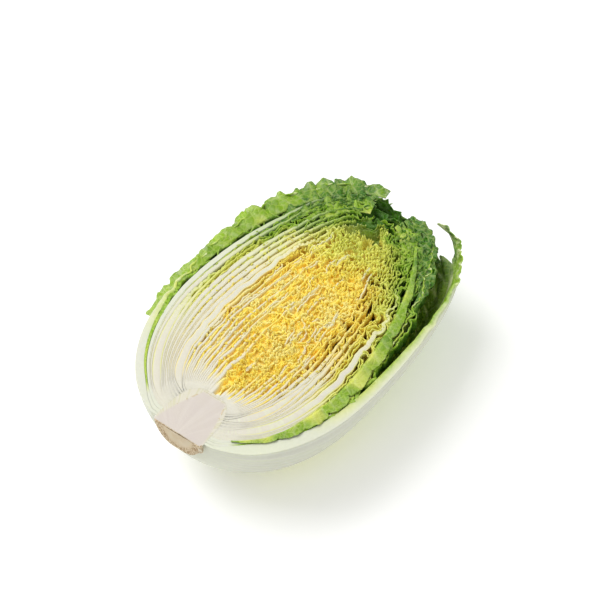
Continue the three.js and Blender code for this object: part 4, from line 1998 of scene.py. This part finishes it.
    def colours(self, grid: LeafGrid, vein: Array) -> tuple[dict[str, Array], dict[str, Array]]:
        """What the finish reads: greener to the tip and the margins, white at the root and on the rib.

        Args:
            grid: the leaf's grid.
            vein: 1 on a vein.

        Returns:
            The named values, and those that differ on the inner face.
        """
        run = grid.run
        base, tip, margin, root = self.green
        near = np.exp(-((grid.margin / self.green_margin) ** 2))
        green = base + tip * smooth(run, *self.green_tip) + margin * near
        green = green + root * smooth(run, *self.green_root)
        later, reach = self.white_margin
        white = 1.0 - smooth(run - later * np.exp(-((grid.margin / reach) ** 2)), *self.root_white)
        values = self.builder.dressed(grid.layer, run, grid.rib, np.zeros((*run.shape, 3)), vein)
        values["green"] = green
        values["rib"] = np.maximum(grid.rib, white) * (1.0 - self.rib_faded * smooth(run, *self.rib_fade))
        inside_rib = values["rib"] * (1.0 - smooth(run, *self.inside_rib_run))
        return values, {"rib": inside_rib, "green": green + self.green_inside}

    def build(self, material: Material) -> None:
        """Builds and dresses the outer leaves."""
        for leaf in self.builder.stack.leaves:
            if leaf.outer:
                parts = [self.leaf(leaf), *self.folds.of(leaf)]
                self.frame.piece(leaf.name + "_blade", parts, Slot.OUTER, (leaf.name,), material)


@dataclass
class Stem:
    """The blunt core that every leaf grows from, with a rough dry cut base.

    Heights, radii and depths of wear are in millimetres, turns in radians from the cut face's +Y side.
    """

    shape: HeadShape
    frame: HeadFrame
    base_rings: int = 12
    rings: int = 40
    ring_crowding: float = 1.3
    segments: int = 72
    growth: float = 0.5
    bevel: float = 1.6
    bevel_height: float = 3.0
    proud: float = 0.05
    rough: Pair = (0.35, 0.3)
    rough_height: float = 1.5
    worn: Several = (0.6, 0.6, 0.4)
    worn_radius: float = 4.0
    worn_out: float = 0.7
    torn: Pair = (0.8, 2.0)
    torn_turn: Pair = (2.5, 2.9)
    edge: Pair = (0.55, 0.92)
    dry_middle: float = 0.42
    dry_side: float = 0.3
    dry_height: float = 5.0
    cut_dry_height: Pair = (0.3, 2.2)
    section_top: float = 10.0
    section_height: float = 41.0
    section_curve: float = 1.5
    section_lean: float = 0.07
    section_edge: float = 1.2
    dots: float = 0.95
    dot_line: Pair = (0.3, 0.8)
    dot_waves: Pair = (2.9, 7.7)
    fan_start: float = -6.0
    turn_map: Pair = (20.0, 30.0)
    crumb_count: int = 16
    crumb_grid: tuple[int, int] = (7, 12)
    crumb_size: Pair = (0.7, 1.7)
    crumb_low: Several = (0.2, -22.8, -6.5)
    crumb_high: Several = (3.6, -20.2, -0.6)
    crumb_dent: float = 0.22
    crumb_dry: Pair = (0.45, 1.0)
    crumb_seed: int = 8

    def profile(self) -> tuple[Array, Array]:
        """One curve: out along the base, round the bevel and up the blunt dome to its top on the axis.

        Returns:
            Heights and radii, each as a column.
        """
        base = np.linspace(0.0, 1.0, self.base_rings)[:-1] * (self.shape.stem_radius - self.bevel)
        climb = np.sin(np.linspace(0.0, math.pi / 2, self.rings)) ** self.ring_crowding
        x = self.shape.stem_height * climb
        side = self.shape.stem_profile(x) + self.growth
        side = side - self.bevel * (1.0 - smooth(x, 0.0, self.bevel_height))
        side[-1] = 0.0
        return np.concatenate([np.zeros_like(base), x])[:, None], np.concatenate([base, side])[:, None]

    def section(self, x: Array, y: Array) -> tuple[Array, Array]:
        """The stem's own section on the cut face: a curve that narrows to its top, with dots along it.

        Args:
            x: heights on the cut face.
            y: distances from its middle.

        Returns:
            1 inside the section to 0 outside it, and 1 on the dry dots that follow its edge.
        """
        share = np.clip(x / self.section_height, 0, 1) ** self.section_curve
        half_width = mix(self.shape.stem_radius, self.section_top, share)
        within = np.minimum(half_width - np.abs(y + self.section_lean * x), self.section_height - x)
        inset, width = self.dot_line
        first, second = self.dot_waves
        spots = np.maximum(0.0, np.sin(x * first) * np.sin(x * second))
        dots = self.dots * np.exp(-(((within + inset) / width) ** 2)) * spots
        return smooth(within, -self.section_edge, self.section_edge), dots

    def surface(self) -> Surface:
        """Half of a turned dome, from the middle of its cut base round to its top, and its cut face across.

        Every ring of the profile is closed across the cut face by a strip between its own two ends.

        Returns:
            The closed surface.
        """
        heights, radii = self.profile()
        angle = np.linspace(0.0, math.pi, self.segments)[None, :]
        rough = self.rough[0] * np.sin(radii * 1.9 + 3.0 * np.sin(2.0 * angle))
        rough = rough + self.rough[1] * np.sin(radii * 3.3 + 5.0 * angle)
        on_base = 1.0 - smooth(heights, 0.0, self.rough_height)
        edge = smooth(radii, *(share * self.shape.stem_radius for share in self.edge))
        torn = self.torn[0] + self.torn[1] * smooth(angle, *self.torn_turn)
        ragged = torn * np.maximum(0.0, np.sin(angle * 7.0 + 1.2) * np.sin(angle * 17.0)) * edge
        worn = self.worn[0] + rough * self.worn[1] + ragged * self.worn[2]
        out_x = heights + on_base * worn * smooth(radii, 0.0, self.worn_radius)
        out_r = radii + on_base * ragged * self.worn_out
        round_part = stacked(out_x, out_r * np.cos(angle), -out_r * np.sin(angle))
        round_part[:, [0, -1], 2] = 0.0
        rows, columns = round_part.shape[:2]
        across = np.linspace(0.0, 1.0, columns)[None, :, None]
        cut_part = mix(round_part[:, :1], round_part[:, -1:], across)
        cut_part[..., 2] = self.proud
        size = rows * columns
        face = grid_quads(rows, columns)
        points = np.concatenate([round_part.reshape(-1, 3), cut_part.reshape(-1, 3)])
        index = np.arange(size).reshape(rows, columns)
        left = np.stack([index[:-1, 0], index[:-1, 0] + size, index[1:, 0] + size, index[1:, 0]], 1)
        right = np.stack([index[:-1, -1], index[1:, -1], index[1:, -1] + size, index[:-1, -1] + size], 1)
        quads = np.concatenate([face, face[:, ::-1] + size, left, right])
        dry = on_base * mix(self.dry_middle, 1.0, edge)
        dry = dry + self.dry_side * (1.0 - smooth(heights, 0.0, self.dry_height)) + 0.0 * angle
        cut_x, cut_y = cut_part[..., 0], cut_part[..., 1]
        section, dots = self.section(cut_x, cut_y)
        cut_dry = np.maximum(1.0 - smooth(heights, *self.cut_dry_height), dots)
        values = {
            "dry": np.concatenate([dry.ravel(), cut_dry.ravel()]),
            "section": np.concatenate([np.zeros(size), section.ravel()]),
        }
        uv = stacked(heights + radii, angle * self.turn_map[0]).reshape(-1, 2)
        from_start = cut_x - self.fan_start
        fan = np.arctan2(cut_y, from_start) * self.turn_map[1]
        flat_uv = np.stack([np.hypot(cut_y, from_start), fan], -1).reshape(-1, 2)
        flat = np.arange(len(quads)) >= len(face)
        return Surface(points, quads, flat, values, np.concatenate([uv, flat_uv]))

    def crumbs(self) -> Surface:
        """Small torn bits at the right corner of the cut base.

        Each is a dented ball, a grid of latitude and longitude whose seam and poles close where points meet.

        Returns:
            All of them.
        """
        rng = np.random.default_rng(self.crumb_seed)
        rows, columns = self.crumb_grid
        up = np.linspace(0.0, math.pi, rows)[None, :, None]
        around = np.linspace(0.0, 2.0 * math.pi, columns + 1)[None, None, :]
        size = rng.uniform(*self.crumb_size, (self.crumb_count, 3, 1, 1))
        middle = np.stack([
            rng.uniform(low, high, self.crumb_count) for low, high in zip(self.crumb_low, self.crumb_high)
        ], axis=1)
        dent = np.sin(5.0 * around + 9.0 * size[:, 0]) * np.sin(3.0 * up) * np.sin(up)
        dented = 1.0 + self.crumb_dent * dent
        parts = [np.sin(up) * np.cos(around), np.sin(up) * np.sin(around), np.cos(up) + 0.0 * around]
        shaped = np.stack([dented * size[:, i] * parts[i] for i in range(3)], axis=-1)
        shaped = shaped + middle[:, None, None]
        shaped[..., -1, :] = shaped[..., 0, :]
        per_ball = rows * (columns + 1)
        balls = range(self.crumb_count)
        quads = np.concatenate([grid_quads(rows, columns + 1) + n * per_ball for n in balls])
        points = shaped.reshape(-1, 3)
        dry = np.repeat(rng.uniform(*self.crumb_dry, self.crumb_count), per_ball)
        values = {"dry": dry, "section": np.zeros(len(points))}
        return Surface(points, quads, np.zeros(len(quads), bool), values, points[:, :2].copy())

    def build(self, material: Material) -> None:
        """Builds and dresses the stem."""
        self.frame.piece("stem_core", [self.surface(), self.crumbs()], Slot.STEM, ("stem",), material)


@dataclass(frozen=True)
class SoftLight:
    """A square soft light: where it stands, in metres, how wide it is and its watts."""

    name: str
    place: Several
    size: float
    power: float

    def build(self) -> None:
        """Adds the light, facing the object."""
        data = bpy.data.lights.new(self.name, "AREA")
        data.shape = "SQUARE"
        data.size = self.size
        data.energy = self.power
        made = bpy.data.objects.new(self.name, data)
        aim = Vector(self.place).to_track_quat("Z", "Y").to_matrix().to_4x4()
        made.matrix_world = Matrix.Translation(Vector(self.place)) @ aim
        bpy.context.scene.collection.objects.link(made)


@dataclass
class Studio:
    """Pale floor, soft light and the camera at the photograph's viewing angle."""

    azimuth: float = -50.5
    elevation: float = 50.0
    roll: float = 3.0
    distance: float = 1.32
    lens: float = 100.0
    farthest: float = 50.0
    target: Several = (172.0, 19.0, -30.0)
    floor_size: float = 14.0
    surroundings: float = 0.57
    lights: tuple[SoftLight, ...] = (
        SoftLight("key_light", (-0.22, 0.62, 1.40), 1.1, 17.6),
        SoftLight("fill_light", (0.6, -1.1, 1.0), 1.4, 3.0),
    )

    def camera(self, head: HeadFrame) -> None:
        """Stands the camera at its angle and distance from a point given in the head's frame.

        Args:
            head: the head's frame.
        """
        a, e = math.radians(self.azimuth), math.radians(self.elevation)
        back = Vector((math.sin(a) * math.cos(e), -math.cos(a) * math.cos(e), math.sin(e)))
        right = Vector((math.cos(a), math.sin(a), 0.0))
        right = Matrix.Rotation(-math.radians(self.roll), 3, back) @ right
        up = back.cross(right)
        target = Vector(self.target) * METRES + Vector(head.origin)
        data = bpy.data.cameras.new("camera")
        data.lens = self.lens
        data.clip_end = self.farthest
        made = bpy.data.objects.new("camera", data)
        turn = Matrix((right, up, back)).transposed().to_4x4()
        made.matrix_world = Matrix.Translation(target + back * self.distance) @ turn
        bpy.context.scene.collection.objects.link(made)
        bpy.context.scene.camera = made

    def floor(self) -> None:
        """Adds a wide floor under the half."""
        half = self.floor_size / 2.0
        corners = [(-half, -half, 0), (half, -half, 0), (half, half, 0), (-half, half, 0)]
        mesh = bpy.data.meshes.new("floor")
        mesh.from_pydata(corners, [], [(0, 1, 2, 3)])
        made = bpy.data.objects.new("floor", mesh)
        mesh.materials.append(FloorFinish().material())
        bpy.context.scene.collection.objects.link(made)

    def build(self, head: HeadFrame) -> None:
        """Builds the camera, the floor, the lights and the pale surroundings.

        Args:
            head: the head's frame.
        """
        self.camera(head)
        self.floor()
        for light in self.lights:
            light.build()
        world = bpy.data.worlds.new("surroundings")
        world.use_nodes = True
        background = world.node_tree.nodes["Background"]
        background.inputs["Color"].default_value = (1.0, 1.0, 1.0, 1.0)
        background.inputs["Strength"].default_value = self.surroundings
        bpy.context.scene.world = world
        bpy.context.scene.view_settings.view_transform = "Standard"


def main() -> None:
    """Builds the studio, the stem, the heart and the leaves."""
    logging.basicConfig(level=logging.INFO, format="%(message)s")
    head = HeadFrame.from_stem()
    shape = HeadShape()
    builder = LeafBuilder(shape, LeafStack(shape))
    folds = LeafFolds(builder, FoldedMargin(builder))
    effects = Effects()
    # the heart's leaves get a small painted glow
    heart_finish = LeafFinish("heart_leaf", glow=0.26, painted_glow=0.06)
    inner_finish = LeafFinish("inner_leaf")
    outer_finish = LeafFinish("outer_leaf", rib=(0.625, 0.63, 0.53), line=0.0)
    Studio().build(head)
    Stem(shape, head).build(FleshFinish().material(effects))
    HeartLeaves(builder, head).build(heart_finish.material(effects))
    InnerLeaves(builder, head, folds).build(inner_finish.material(effects))
    OuterLeaves(builder, head, folds).build(outer_finish.material(effects))
    LOG.info("all: %d triangles", sum(head.counted))
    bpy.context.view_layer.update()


if __name__ == "__main__":
    main()
